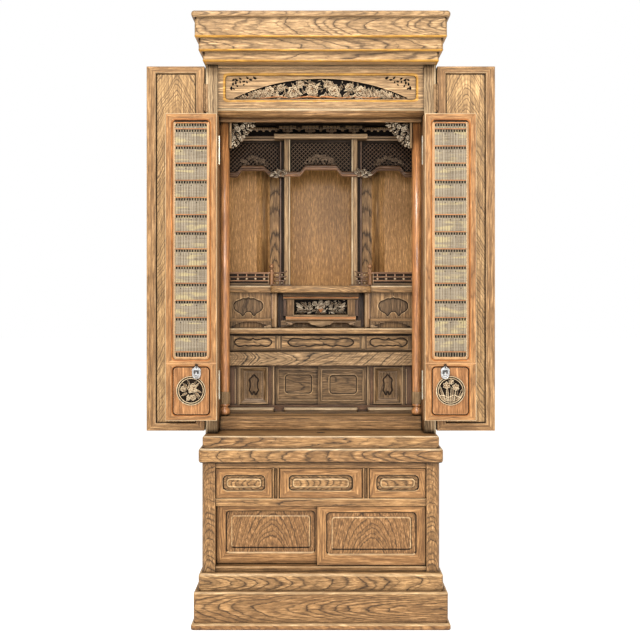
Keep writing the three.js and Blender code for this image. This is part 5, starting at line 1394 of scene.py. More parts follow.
# ================================================================== inside: the altar
def sunk(p, rect, poly, y, thick, depth, cxz, asp, gf, gp, m=0, mp=1, lip=1.1, n=140, cham=0.5, rim=None, wall=None, ww=0.5):
    """A board whose front has a sunk field of any outline; the arris of the field stands up a little."""
    x0, x1, z0, z1 = rect
    cx, cz = cxz
    def lp(q):
        return ray_loop(q, cx, cz, asp, n)
    def grow(d):
        out = []
        k = len(poly)
        for i in range(k):
            a, o, c = Vector(poly[i - 1]), Vector(poly[i]), Vector(poly[(i + 1) % k])
            e = (c - a)
            nn = Vector((e.y, -e.x)).normalized() if e.length else Vector((0, 0))
            out.append((o.x + nn.x * d, o.y + nn.y * d))
        return out
    c = cham
    L = [(lp([(x0, z0), (x1, z0), (x1, z1), (x0, z1)]), y + thick), (lp([(x0, z0), (x1, z0), (x1, z1), (x0, z1)]), y + c),
         (lp([(x0 + c, z0 + c), (x1 - c, z0 + c), (x1 - c, z1 - c), (x0 + c, z1 - c)]), y)]
    L += [(lp(grow(lip + 0.9)), y), (lp(grow(lip)), y - 0.45), (lp(grow(lip * 0.35)), y - 0.45), (lp(grow(0)), y + 0.5), (lp(grow(-ww)), y + depth)]
    r_ = m if rim is None else rim
    bands = [(gf, m, False), (gf, m, False), (gf, m, False), (gf, r_, True), (gf, r_, True), (gf, r_, True), (gf, m if wall is None else wall, False)]
    loft(p, L, bands, 6, (gf, m), (gp, mp))


def ccw(pts):
    a = sum(u[0] * v[1] - v[0] * u[1] for u, v in zip(pts, pts[1:] + pts[:1]))
    return pts if a > 0 else pts[::-1]


def both(half):
    """A shape from its right half, top to bottom, about x = 0."""
    return ccw(half + [(-x, z) for x, z in half[::-1] if abs(x) > 1e-6])


def smooth01(t):
    t = min(1, max(0, t))
    return t * t * (3 - 2 * t)


KID = both(spline([(0.0, 1.04), (0.07, 0.975), (0.22, 0.95), (0.38, 0.955), (0.62, 0.87), (0.86, 0.79), (1.0, 0.62), (0.99, 0.46), (0.90, 0.32), (0.72, 0.21), (0.54, 0.13), (0.44, 0.03), (0.36, 0.0), (0.29, 0.05), (0.22, 0.15), (0.11, 0.22), (0.0, 0.24)], 4))
CLOUD = both(spline([(0.0, 1.02), (0.05, 0.90), (0.16, 0.80), (0.30, 0.82), (0.44, 0.92), (0.60, 1.0), (0.78, 0.98), (0.93, 0.84), (1.0, 0.58), (0.96, 0.32), (0.86, 0.14), (0.74, 0.02), (0.62, 0.06), (0.55, 0.22), (0.42, 0.20), (0.26, 0.10), (0.10, 0.14), (0.0, 0.16)], 3))
CLOUDC = both(spline([(0.0, 1.02), (0.03, 0.88), (0.12, 0.84), (0.25, 0.92), (0.36, 0.88), (0.48, 0.84), (0.62, 0.94), (0.80, 1.0), (0.93, 0.86), (1.0, 0.56), (0.96, 0.28), (0.86, 0.08), (0.74, 0.03), (0.66, 0.24), (0.52, 0.26), (0.42, 0.08), (0.28, 0.10), (0.18, 0.24), (0.0, 0.20)], 3))
TALL = both(spline([(0.0, 1.02), (0.10, 0.97), (0.30, 0.95), (0.52, 0.88), (0.86, 0.82), (1.0, 0.72), (0.84, 0.64), (0.80, 0.50), (0.84, 0.34), (1.0, 0.22), (0.72, 0.12), (0.52, 0.02), (0.34, 0.0), (0.24, 0.08), (0.10, 0.14), (0.0, 0.15)], 4))


def place(shape, cx, z0, hw, h):
    return [(cx + u * hw, z0 + v * h) for u, v in shape]


A_ = 249.5
p = P()
gA = plain_grain('x', 'y', (0, 130, 520))
# bold-grained board
gB = grain('x', 'y', (-230, 104.8, 582), 15, 0.30, 0.5, 300)
bar_x(p, [(131, 566), (131, 598), (106.2, 598), (105.2, 597.4), (104.8, 596), (104.8, 568), (105.2, 566.6), (106.2, 566)], -A_, A_, gB, 2)
# backing box
for xa, xb in ((-A_, -113), (113, A_)):
    board(p, xa, xb, 136, 372, 442.3, 599.8, plain_grain('z', 'y', (xa, 130, 500)), 0.3, 0)
board(p, -113, 113, 364, 371.5, 442.3, 599.8, plain_grain('x', 'y', (0, 370, 500)), 0.3, 0)
board(p, -113, 113, 131, 364, 442.4, 466.9, plain_grain('x', 'z', (0, 200, 460)), 0.3, 0)
board(p, -113, 113, 131, 364, 563.1, 599.7, plain_grain('x', 'z', (0, 200, 580)), 0.3, 0)
board(p, -A_, A_, 105, 136.2, 442.4, 453.8, plain_grain('x', 'y', (0, 105, 450)), 0.8, 0)
# two strips in the darker lintel wood, painted shade, behind the floor rail and under the bold-grained board
board(p, -A_, A_, 126, 136.2, 453.7, 468, plain_grain('x', 'y', (0, 120, 460)), 0.3, 4)
board(p, -A_, A_, 130.6, 136.2, 562, 566.2, plain_grain('x', 'y', (0, 130, 565)), 0.3, 4)
# the floor rail in three lengths with rounded ends, each with a strip along its top in a light wood as a painted
# highlight
for xa, xb in ((-A_, -112.5), (-88.5, 88.5), (112.5, A_)):
    e0, e1 = (xa > -A_), (xb < A_)
    plan = []
    plan += arc(xb - 5, 110, 5, 0, -90, 5) if e1 else [(xb, 105)]
    plan += arc(xa + 5, 110, 5, -90, -180, 5) if e0 else [(xa, 105)]
    plan += [(xa, 126), (xb, 126)]
    plan = ccw([(x, y) for x, y in plan])
    gR = plain_grain('x', 'y', (xa, 105, 458))
    prism_z(p, plan, 453.9, 460.4, gR, 0)
    pl2 = [((x - (xa + xb) / 2) * (1 - 1.2 / (xb - xa)) + (xa + xb) / 2, y + 0.6 if y < 120 else y) for x, y in plan]
    prism_z(p, pl2, 460.4, 463, gR, 5)
# side fields: mitred bevelled frames with a bracket-shaped sunk field
for s in (-1, 1):
    def R4(xa, xb, za, zb, r=0.3, n=3):
        return rr(xa, xb, za, zb, r, n)
    xa, xb, za, zb = (128, 197, 470, 561)
    N = 3
    gf = mitre(162, 515, 130, 30, 40)
    gp = grain('z', 'y', (162, 136, 515), 50, 0.08, 4)
    L = [(R4(xa, xb, za, zb), 136.2), (R4(xa, xb, za, zb), 130.9), (R4(xa + 0.5, xb - 0.5, za + 0.5, zb - 0.5), 130.2), (R4(xa + 3.2, xb - 3.2, za + 3.2, zb - 3.2), 130.0),
         (R4(xa + 3.8, xb - 3.8, za + 3.8, zb - 3.8), 130.8), (R4(xa + 7, xb - 7, za + 7, zb - 7), 132.2), (R4(xa + 13.4, xb - 13.4, za + 12.4, zb - 11.4), 135.4), (R4(xa + 14, xb - 14, za + 13, zb - 12), 135.9)]
    mx_ = (s < 0)
    # the step down into each field is in the darker lintel wood as painted shade
    loft(p, L, [(gf, 0, False), (gf, 3, False), (gf, 3, False), (gf, 0, False), (gf, 0, False), (gf, 0, False), (gf, 4, False)], N, (gp, 0), (gp, 0), mirror=mx_)
    q = P()
    pl = place(TALL, s * 162.5, 493.5, 10.8, 47)
    sunk(p, (s * 162.5 - 19.5, s * 162.5 + 19.5, 484.5, 547.5), pl, 133.4, 5.0, 2.4, (s * 162.5, 517), 0.42, gp, gp, 0, 6, 1.3, 120, 0.3, 7, 7, 1.3)
    # the recessed strips beside the stiles are in the darker lintel wood as painted shade
    for xa2, xb2, y2, mm in ((113, 119.6, 130.3, 3), (119.6, 128, 133.4, 4), (197, 203.8, 130.3, 3), (203.8, 221, 134.6, 4), (221, A_, 130.3, 0)):
        gz_ = plain_grain('z', 'y', (s * xa2, 130, 500))
        if mm == 3:                                     # a stile with a lit bead on its inner side
            board(p, s * xa2, s * xb2, y2, 136.2, 467.5, 562.6, gz_, 0.6, 0)
            board(p, s * xa2, s * (xa2 + 2.2), y2 - 0.9, y2 + 0.5, 467.5, 562.6, gz_, 0.5, 3)
        else:
            board(p, s * xa2, s * xb2, y2, 136.2, 467.5, 562.6, gz_, 0.6, mm)
    board(p, s * 206.5, s * 209, 133.2, 136, 470, 556, plain_grain('z', 'y', (s * 206, 130, 500)), 0.4, 3)
# the bold-grained face: arrowheads at the left, long waves, then slanting lines
def bold(x, y, z):
    q = (x + 249) / 1000
    rise = 0.56 * min(q, 0.105) + 0.15 * min(max(q - 0.105, 0), 0.17) + 0.50 * max(q - 0.275, 0)
    zc = 583 + 3 * math.sin(x / 40)
    arrow = 0.60 * math.hypot(z - zc, 2.0) / 1000
    slant = 0.62 * (598 - z) / 1000
    f = smooth01((q - 0.13) / 0.16)
    r = 0.31 + rise + arrow * (1 - f) + slant * f
    v = (z - 582) / 1000
    return (x / 1000, v, math.sqrt(r * r - v * v))
slab(p, -A_ + 0.2, A_ - 0.2, 104.4, 106.6, 567.0, 597.2, bold, 2, 90, 8)
p.make('altar_lower_case_wood', 'cabinet', [M_IN, M_BACK, M_BOLD, M_POST, M_LINTEL_AND_SHADE, M_HIGHLIGHT_WOOD, M_INF, M_SHADE], 'altar_lower_case', 'interior_wood')

for nm, x0, y0, fa, fb in (('left', -112.5, 143.5, -102.5, -7.5), ('right', -7, 135, 3.5, 101)):
    x1, z0, z1 = x0 + 119.5, 467.5, 562.5
    p = P()
    N = 6
    gf = mitre((x0 + x1) / 2, 515, y0, 55, 45)
    gp = grain('x', 'y', ((fa + fb) / 2, y0, 515), 24 if nm == 'right' else 44, 0.07, -14 if nm == 'right' else 6)
    zc, zd = 480, 552
    L = [(rr(x0, x1, z0, z1, 0.3, N), y0 + 6.5), (rr(x0, x1, z0, z1, 0.3, N), y0 + 0.7), (rr(x0 + 0.7, x1 - 0.7, z0 + 0.7, z1 - 0.7, 0.3, N), y0),
         (rr(fa - 2.4, fb + 2.4, zc - 2.4, zd + 2.4, 0.5, N), y0), (rr(fa - 1.7, fb + 1.7, zc - 1.7, zd + 1.7, 0.5, N), y0 - 0.4), (rr(fa - 0.6, fb + 0.6, zc - 0.6, zd + 0.6, 0.5, N), y0 - 0.1),
         (rr(fa, fb, zc, zd, 0.5, N), y0 + 2.3)]
    ra, rb_ = ((-88.0, -21.0) if nm == 'left' else (21.0, 88.0))
    c0, c1 = 494, 541
    for q_, dy in ((-2.4, 2.3), (-1.4, 1.5), (0.2, 1.7), (0.6, 4.2), (2.2, 4.2), (2.6, 3.0)):
        L.append((rr(ra + q_, rb_ - q_, c0 + q_, c1 - q_, 9 - q_, N), y0 + dy))
    bands = [(gf, 0, False)] * 3 + [(gf, 2, True), (gf, 2, True), (gf, 0, True), (gp, 1, False), (gp, 2, True), (gp, 2, True), (gp, 3, False), (gp, 3, False), (gp, 0, False)]
    loft(p, L, bands, N, (gf, 0), (gp, 1))
    p.make('altar_sliding_panel_%s_wood' % nm, 'altar_slide_' + nm, [M_IN, M_IN, M_POST, M_SHADE], 'altar_sliding_panel_' + nm, 'interior_wood')

# drawer row
p = P()
board(p, -A_, A_, 125, 371.8, 636.6, 641.9, plain_grain('x', 'y', (0, 125, 640)), 0.4, 4)
board(p, -A_, A_, 125, 371.8, 600.1, 604.4, plain_grain('x', 'y', (0, 125, 602)), 0.8, 0)
board(p, -A_, A_, 364, 371.8, 604.4, 636.6, plain_grain('x', 'y', (0, 370, 620)), 0.2, 0)
for s in (-1, 1):
    board(p, s * 95, s * 110, 126.5, 364, 604.3, 636.7, plain_grain('z', 'y', (s * 95, 125, 620)), 0.3, 0)
    board(p, s * 98.0, s * 107.0, 123.6, 127, 604.5, 636.4, plain_grain('z', 'y', (s * 95, 125, 620)), 1.6, 2)
    board(p, s * 212, s * A_, 125, 364, 604.3, 636.7, plain_grain('z', 'y', (s * 212, 125, 620)), 0.4, 0)
p.make('altar_drawer_case_wood', 'cabinet', [M_IN, M_BACK, M_POST, M_POST, M_SHADE], 'altar_drawer_case', 'interior_wood')
for nm, a, b in (('left', -212, -110), ('centre', -95, 95), ('right', 110, 212)):
    x0, x1, z0, z1, yf = a + 0.7, b - 0.7, 605, 636, 125.5
    p = P()
    gp = grain('x', 'y', ((x0 + x1) / 2, yf, 620), 30, 0.06, 5)
    cx = (x0 + x1) / 2
    if nm == 'centre':
        sh = place(CLOUDC, 0, 610.3, 79, 19.5)
        asp = 4.0
    else:
        cx += -3.0 if nm == 'left' else 3.0
        sh = place(CLOUD, cx, 610.3, 44.5, 19.5)
        asp = 2.3
    sunk(p, (x0, x1, z0, z1), sh, yf, 8, 2.6, (cx, 620.5), asp, gp, gp, 0, 0, 1.2, 200, 0.6, 2, 2, 1.0)
    drawer_box(p, x0, x1, z0, z1, yf, 8, 300, 5, 2, 1.5, 3, 1)
    p.make('altar_drawer_%s_wood' % nm, 'altar_drawer_body_' + nm, [M_DRAW, M_BACK, M_SHADE, M_POST], 'altar_drawer_' + nm, 'interior_wood')

# shelf above the drawers, with a strip along its front top edge in a light wood as a painted highlight
p = P()
bar_x(p, [(371.5, 642.1), (371.5, 654.4), (112, 654.4), (109.4, 653.7), (108.1, 652.2), (108, 650.5), (108.4, 649.6), (108.0, 648.6), (108.2, 645.4), (109.2, 643.0), (112, 642.1)], -A_, A_, grain('x', 'y', (0, 108, 648), 50, 0.03, 30), 0)
board(p, -A_, A_, 108.6, 112, 652.2, 654.5, plain_grain('x', 'y', (0, 108, 654)), 0.7, 1)
p.make('altar_shelf_wood', 'cabinet', [M_INTOP, M_HIGHLIGHT_WOOD], 'altar_shelf', 'interior_wood')

# stepped stand with kidney-shaped recesses and a carved panel
p = P()
D0, D1 = 654.6, 740.9
for s in (-1, 1):
    gk = grain('z', 'y', (s * 178, 155, 700), 60, 0.04, 10)
    sh = place(KID, s * 178, 683.0, 36.5, 46.0)
    sunk(p, (s * 178 - 57, s * 178 + 57, 677.4, D1), ccw(sh), 155, 9, 4.6, (s * 178, 706), 1.3, gk, gk, 1, 7, 1.7, 160, 0.3, 2, 8, 1.9)
    # the boards in the darker lintel wood here and in the centre are painted shade in the gaps of the stand
    board(p, s * 121, s * A_, 163.5, 371, 660, D1 - 0.1, gk, 0.2, 4)
    board(p, s * 235, s * A_, 155, 161, 677.4, D1, gk, 0.3, 1)
    board(p, s * 107.5, s * 121, 155.5, 371, D0, D1, gk, 0.3, 1)
    board(p, s * 109.5, s * 119.5, 148, 156, D0, D1, plain_grain('z', 'y', (s * 115, 148, 700)), 1.8, 1)
    board(p, s * 116.5, s * 121, 149.2, 156, 677, D1, plain_grain('z', 'y', (s * 115, 148, 700)), 0.5, 4)
    board(p, s * 108.2, s * 112.2, 147.4, 150, D0, D1, plain_grain('z', 'y', (s * 115, 148, 700)), 0.8, 2)
    board(p, s * 121, s * A_, 150, 160.5, 670.5, 677.4, plain_grain('x', 'y', (s * 115, 148, 674)), 0.8, 1)
    # cloud-cut feet under the rail
    ft = [(121, 670.6), (121, D0), (139, D0), (139, 659), (133, 659.5), (134, 662.5), (144, 663.5), (146, 666.6), (154, 667.2), (157, 669.6), (190, 669.6), (193, 667.4), (201, 666.6), (203, 663.8), (211, 662.6),
          (213, 659.8), (219, 659), (219, D0), (236, D0), (236, 670.6)]
    ft = [(s * x, z) for x, z in ft]
    plate(p, ft, 151.2, 158, gk, 0, 0.4)
    plate(p, [(s * 121, D0), (s * 121, 660), (s * 126, 661.8), (s * 131, 659.5), (s * 138.5, 658.4), (s * 138.5, D0)], 149.8, 152, gk, 2, 0.5)
    board(p, s * 121, s * 240, 158.4, 161, D0, 671, plain_grain('z', 'y', (s * 180, 160, 660)), 0.3, 1)
# centre
gc_ = plain_grain('z', 'y', (0, 205, 700))
board(p, -108, 108, 205, 371, D0, D1 - 0.1, gc_, 0.2, 4)
# the panel behind the carving, painted black as shade
board(p, -92.5, 92.5, 176, 206, 680, 728, plain_grain('x', 'y', (0, 180, 700)), 0.3, 3)
for s in (-1, 1):
    board(p, s * 68.5, s * 84.5, 168, 177, 683, 724.5, plain_grain('z', 'y', (s * 80, 168, 700)), 0.8, 1)
    board(p, s * 66.2, s * 69.0, 167.0, 175, 683, 724.5, plain_grain('z', 'y', (s * 70, 168, 700)), 0.7, 2)
    board(p, s * 84.5, s * 92.5, 172, 178, 683, 724.5, plain_grain('z', 'y', (s * 80, 168, 700)), 0.5, 4)
gM = plain_grain('x', 'y', (0, 160, 730))
bar_x(p, [(206, 724), (206, D1), (160.5, D1), (160, 740), (160, 733.6), (161.2, 732.8), (162.6, 732.4), (162.0, 731.2), (162.2, 728.4), (163.6, 726.0), (166, 724.2), (168, 724)], -92.5, 92.5, gM, 0)
board(p, -93, 93, 160.8, 166, 727.6, 730.2, gM, 0.9, 5)
bar_x(p, [(206, 671.6), (206, 683.4), (162, 683.4), (160.6, 682.6), (160.2, 681.0), (158.8, 680.2), (158.1, 678.6), (158.1, 674.6), (159.4, 672.4), (162, 671.6)], -86, 86, gM, 1)
board(p, -86, 86, 157.6, 161, 676.4, 680.4, gM, 1.0, 5)
board(p, -68, 68, 163.2, 168, 682.8, 686.2, gM, 0.8, 2)
ft = both([(0, 657.2), (10, 658.2), (17, 661.4), (25, 662.2), (29, 665.8), (36, 667), (62, 667), (68, 664.5), (72, 661.0), (79, 660.2), (81, 657.4), (92, 656.6), (92, D0), (98, D0), (98, 671.8), (0, 671.8)])
plate(p, ft, 162, 172, plain_grain('x', 'y', (0, 168, 664)), 0, 0.5)
ctr = both([(0, 656.6), (9, 658.0), (15, 660.8), (23, 661.6), (26, 665), (31, 667.4), (31, 670.6), (0, 670.6)])
plate(p, ctr, 159.6, 163, plain_grain('x', 'y', (0, 168, 664)), 2, 0.7)
for s in (-1, 1):
    scroll(p, s * 84, 660, 163, 0.4 if s > 0 else PI - 0.4, 4.4, 1.1, 1.4, 0, False, s, 1.5)
    leaf(p, s * 70, 663, 163, 0.2 if s > 0 else PI - 0.2, 14, 6, (0.5, 3.0), 'leaf', 0, 0.3 * s, 1.2, 2.2, 7, 4)
board(p, -92, 92, 190, 200, D0, 671.8, plain_grain('z', 'y', (0, 190, 660)), 0.3, 1)
# carving on the centre panel: two birds' wings of leaves about a flower
rd = random.Random(12)
for s in (-1, 1):
    for (x, z, a, L_, W) in ((62, 716, 3.7, 17, 5.5), (61, 709, 3.5, 19, 5.5), (60, 702, 3.3, 17, 5), (58, 695, 3.05, 20, 6), (50, 718, 3.9, 13, 5), (46, 711, 3.5, 14, 5.5), (52, 690, 3.0, 17, 5.5),
                             (40, 705, 3.6, 13, 5), (38, 694, 3.0, 13, 5.5), (40, 718, 4.2, 9, 4), (30, 698, 2.7, 12, 5), (32, 712, 2.4, 9, 4.5), (34, 689, 2.9, 12, 4.5), (28, 718, 4.6, 10, 4.5), (64, 689, 2.5, 9, 4)):
        leaf(p, x, z, 174.0, a, L_, W, (0.8, 4.6), 'leaf', 6, rd.uniform(-0.5, 0.5), 1.4, 2.6, 7, 4, s < 0, 0.14)
for i in range(70):
    x, z = rd.uniform(-63, 63), rd.uniform(686.5, 722.5)
    a = rd.uniform(0, 2 * PI)
    if 685 < z + 8 * math.sin(a) < 724 and abs(x + 8 * math.cos(a)) < 66:
        leaf(p, x, z, 174.6, a, rd.uniform(6, 9), 2.6, (0.4, 2.8), 'leaf', 6, rd.uniform(-0.8, 0.8), 1.0, 1.5, 6, 4, False, 0.12)
for (x, z, R) in ((0, 707, 10), (-15, 714, 6), (15, 714, 6), (0, 719, 4.5), (-25, 706, 5), (25, 706, 5)):
    flower(p, x, z, 174.0, R, rd, 6, False, 0.75)
for i in range(9):
    a = PI * i / 8
    leaf(p, 0.0, 691, 174.0, a, 14, 6, (0.6, 3.4), 'leaf', 5 if i in (3, 4, 5) else 6, 0, 1.4, 2.6, 7, 4, False, 0.1)
p.make('altar_dais_wood', 'cabinet', [M_IN, M_DAIS, M_POST, M_SHADOW_BLACK, M_LINTEL_AND_SHADE, M_EDGE, M_CARVE_IN, M_INF, M_SHADE], 'altar_dais', 'interior_wood')

# top: a bowed centre with rounded edge, straight sides whose front top edges carry strips in a light wood as painted
# highlights
p = P()
def bow(inset, n=36):
    w = 122 - inset
    pts = []
    for i in range(n + 1):
        t = -1 + 2 * i / n
        pts.append((w * t, 120 - 14 * (1 - t * t) + inset + (3.5 * max(0, abs(t) - 0.97) / 0.03)))
    return pts + [(w, 371.5), (-w, 371.5)]
gT = grain('x', 'y', (0, 106, 750), 60, 0.03, 40)
rings = []
for inset, z in ((2.4, 741.05), (0.9, 742.0), (0.2, 744.2), (0.0, 747.5), (0.0, 751.5), (0.5, 754.6), (2.0, 756.8), (4.2, 757.5)):
    base = len(p.v)
    pts = bow(inset)
    p.v += [(x, y, z) for x, y in pts]
    rings.append(list(range(base, base + len(pts))))
for j in range(len(rings) - 1):
    k = len(rings[0])
    for i in range(k):
        p.face((rings[j][i], rings[j][(i + 1) % k], rings[j + 1][(i + 1) % k], rings[j + 1][i]), gT, 0, i < k - 3)
p.face(rings[0][::-1], gT, 0)
p.face(rings[-1], gT, 0)
for s in (-1, 1):
    bar_x(p, [(371.5, 741.1), (371.5, 757.4), (148.5, 757.4), (146.2, 756.6), (145.1, 754.8), (145, 752), (145, 745.5), (146, 742.2), (148.5, 741.1)], s * 121.5, s * A_, grain('x', 'y', (s * 180, 145, 750), 40, 0.05, 20), 0)
    board(p, s * 122.5, s * A_, 144.4, 149, 754.6, 757.5, plain_grain('x', 'y', (s * 180, 145, 756)), 0.9, 1)
p.make('altar_top_wood', 'cabinet', [M_INTOP, M_HIGHLIGHT_WOOD], 'altar_top', 'interior_wood')

# railings
TZ = 757.5
for side, s in (('left', -1), ('right', 1)):
    p = P()
    gr = plain_grain('x', 'y', (s * 180, 155, 770))
    def bd(x0, x1, y0, y1, z0, z1, m, b=0.5):
        board(p, s * x0, s * x1, y0, y1, z0, z1, gr, b, m)
    bd(127, 228, 150.5, 160, TZ, TZ + 6.6, 3, 0.9)
    bd(72, 127, 150, 160, TZ, TZ + 3.3, 2, 0.6)
    bd(127, 228, 155.0, 157.2, TZ + 6.6, 788.6, 1, 0.2)
    bd(115, 228, 151.6, 158, 787, 791.4, 0, 1.2)
    bd(127, 228, 152.8, 157, 778.0, 780.8, 0, 0.7)
    bd(127, 228, 152.2, 157.6, 768.4, 771.6, 0, 0.8)
    for x in (127.2, 227.0):
        bd(x, x + 2.6, 152, 157.6, TZ + 6, 788, 3 if x < 200 else 0, 0.6)
    # round bosses in a light wood: painted highlights
    for i in range(5):
        x = 139 + 21.5 * i
        if x < 226:
            dome(p, s * x, 774.6, 154.4, 2.3, 1.5, 4, 14, 4)
            ring(p, s * x, 774.6, 153.9, 155.2, 2.3, 3.3, 18, 0, None)
            bd(x - 1.2, x + 1.2, 153.6, 156.4, 780.6, 787.2, 0, 0.4)
    # return with crossing rails
    for z, x1, up in ((789.2, 83, 5.5), (779.4, 84, 2.0), (770.0, 85, 1.0)):
        pts = [(s * 118, 155, z), (s * 108, 155, z), (s * 98, 155, z), (s * 91, 155, z + up * 0.15), (s * 86.5, 155, z + up * 0.5), (s * x1, 155, z + up)]
        tube(p, pts, lambda t: 1.75 - 0.25 * t, 8, gr, 2, 0.8)
    bd(98.8, 102.8, 152.4, 157.6, TZ + 3, 788.4, 2, 0.6)
    bd(90.5, 93.3, 153, 157, TZ + 3, 770, 2, 0.4)
    for x, z in ((107.5, 784.6), (107.5, 764.4), (95.5, 784.4), (95.5, 764.6), (88.5, 774.8)):
        dome(p, s * x, z, 155, 1.7, 1.2, 4, 12, 3)
    for z in (774.8,):
        tube(p, [(s * 111, 155, z - 4.0), (s * 97, 155, z + 4.2)], 1.1, 6, gr, 2)
        tube(p, [(s * 111, 155.2, z + 4.2), (s * 97, 155.2, z - 4.0)], 1.1, 6, gr, 2)
    lathe(p, [(6.4, TZ + 0.2), (6.4, TZ + 6), (5.7, TZ + 7), (5.7, 793), (6.3, 794), (6.3, 795.6), (4.4, 796.8), (3.2, 798.2), (3.0, 799.8), (3.8, 800.8), (5.6, 802), (6.6, 803.8), (6.8, 805.6), (6.2, 807.4), (4.6, 809.2), (2.8, 810.8),
              (1.4, 812.2), (0.7, 813.4)], s * 120.5, 155, 24, plain_grain('z', 'y', (s * 120, 155, 780)), 5)
    p.make('railing_%s_wood' % side, 'cabinet', [M_LINT2, M_SHADE, M_LINTEL_AND_SHADE, M_IN, M_HIGHLIGHT_WOOD, M_LINT2], 'railing_' + side, 'red_wood')

# ================================================================== inside: the shrine
ZS = 757.8
p = P()
# central beam, lit along its top
board(p, -115, 115, 161.5, 201, 1121.2, 1131.8, plain_grain('x', 'y', (0, 160, 1126)), 0.8, 1)
board(p, -115, 115, 159.8, 164, 1126.8, 1131.9, plain_grain('x', 'y', (0, 160, 1126)), 0.9, 0)
board(p, -115, 115, 160.6, 164, 1121.3, 1126.2, plain_grain('x', 'y', (0, 160, 1126)), 0.9, 0)
for s in (-1, 1):
    gz2 = plain_grain('z', 'y', (s * 80, 176, 950))
    plan = [(76.5, 201), (91, 201), (91, 178.6), (89.6, 176.6), (80.6, 176.2), (79.6, 177.4), (79.2, 176), (77.6, 175.6), (76.5, 176.8)]
    plan = ccw([(s * x, y) for x, y in plan])
    prism_z(p, plan, ZS, 1121.4, gz2, 0)
    # a strip down the post's inner edge in a light wood: a painted highlight
    board(p, s * 76.4, s * 79.4, 175.4, 178, ZS + 0.2, 1121.2, gz2, 0.9, 7)
    board(p, s * 84, s * 104, 201.5, 216, ZS + 0.1, 1131.8, gz2, 0.8, 6)
    board(p, s * 99.5, s * 102.5, 200.6, 204, ZS + 0.2, 1125, gz2, 0.8, 3)
    # side beam
    board(p, s * 104, s * 249, 209.4, 216, 1124.2, 1135.8, plain_grain('x', 'y', (s * 180, 208, 1130)), 0.8, 6)
    board(p, s * 104, s * 249, 208, 211, 1130.4, 1135.8, plain_grain('x', 'y', (s * 180, 208, 1130)), 0.8, 1)
    board(p, s * 104, s * 249, 208.6, 211, 1124.3, 1128.8, plain_grain('x', 'y', (s * 180, 208, 1130)), 0.8, 1)
# board behind the bracket blocks, painted black as shade
board(p, -249, 249, 204, 216, 1136.2, 1159.6, plain_grain('x', 'y', (0, 204, 1145)), 0.4, 5)


def block_cluster(x, y, z0, k, w, m, top=3):
    """Bearing blocks stepping out as they rise: a block, arms, more blocks."""
    rows = ((0,), (-1, 0, 1), (-1.9, -0.95, 0, 0.95, 1.9))[:top]
    for r, xs in enumerate(rows):
        z = z0 + r * k * 1.32
        for u in xs:
            cx_ = x + u * w * 1.02
            hw_ = w * (0.40 if r else 0.52)
            # a small bearing block, cupped under
            pf = [(cx_ - hw_ * 0.62, z), (cx_ + hw_ * 0.62, z), (cx_ + hw_, z + k * 0.34), (cx_ + hw_, z + k * 0.80), (cx_ - hw_, z + k * 0.80), (cx_ - hw_, z + k * 0.34)]
            plate(p, pf, y - 3.0 * r - abs(u) * 0.2, y + 8, None, m if (r or top < 3) else 1, 0.5)
        if r < len(rows) - 1:                 # the arm that carries the next row, its ends rounded up
            span = w * (1.45 if r == 0 else 2.35)
            arm = [(x - span, z + k * 1.30), (x - span, z + k * 1.02), (x - span * 0.78, z + k * 0.82), (x + span * 0.78, z + k * 0.82), (x + span, z + k * 1.02), (x + span, z + k * 1.30)]
            plate(p, arm, y - 3.0 * r - 1.6, y + 8, None, 2, 0.5)


for x in (-83, -26.5, 26.5, 83):
    block_cluster(x, 196, 1140.0, 5.2, 8.8, 0)
for x in (-54.5, 0, 54.5):
    block_cluster(x, 200, 1146.0, 4.8, 7.0, 0, 2)
for s in (-1, 1):
    for x in (112, 128, 144, 160, 176, 192, 208, 224):
        block_cluster(s * x, 203, 1145.4, 4.6, 5.4, 0, 2)
board(p, -112, 112, 192, 204, 1156.4, 1159.6, plain_grain('x', 'y', (0, 192, 1158)), 0.5, 6)


def clip_seg(a, b, poly):
    """The stretches of a segment that lie within an outline."""
    (ax, az), (bx, bz) = a, b
    ts = [0.0, 1.0]
    k = len(poly)
    for i in range(k):
        px, pz = poly[i]
        qx, qz = poly[(i + 1) % k]
        det = (bx - ax) * (qz - pz) - (bz - az) * (qx - px)
        if abs(det) < 1e-9:
            continue
        t = ((px - ax) * (qz - pz) - (pz - az) * (qx - px)) / det
        u = ((px - ax) * (bz - az) - (pz - az) * (bx - ax)) / det
        if 0 < t < 1 and 0 <= u <= 1:
            ts.append(t)
    ts.sort()
    out = []
    for t0, t1 in zip(ts, ts[1:]):
        if t1 - t0 < 1e-4:
            continue
        m_ = (t0 + t1) / 2
        x, z = ax + (bx - ax) * m_, az + (bz - az) * m_
        ins = False
        j = k - 1
        for i in range(k):
            xi, zi = poly[i]
            xj, zj = poly[j]
            if (zi > z) != (zj > z) and x < (xj - xi) * (z - zi) / (zj - zi) + xi:
                ins = not ins
            j = i
        if ins:
            out.append(((ax + (bx - ax) * t0, az + (bz - az) * t0), (ax + (bx - ax) * t1, az + (bz - az) * t1)))
    return out


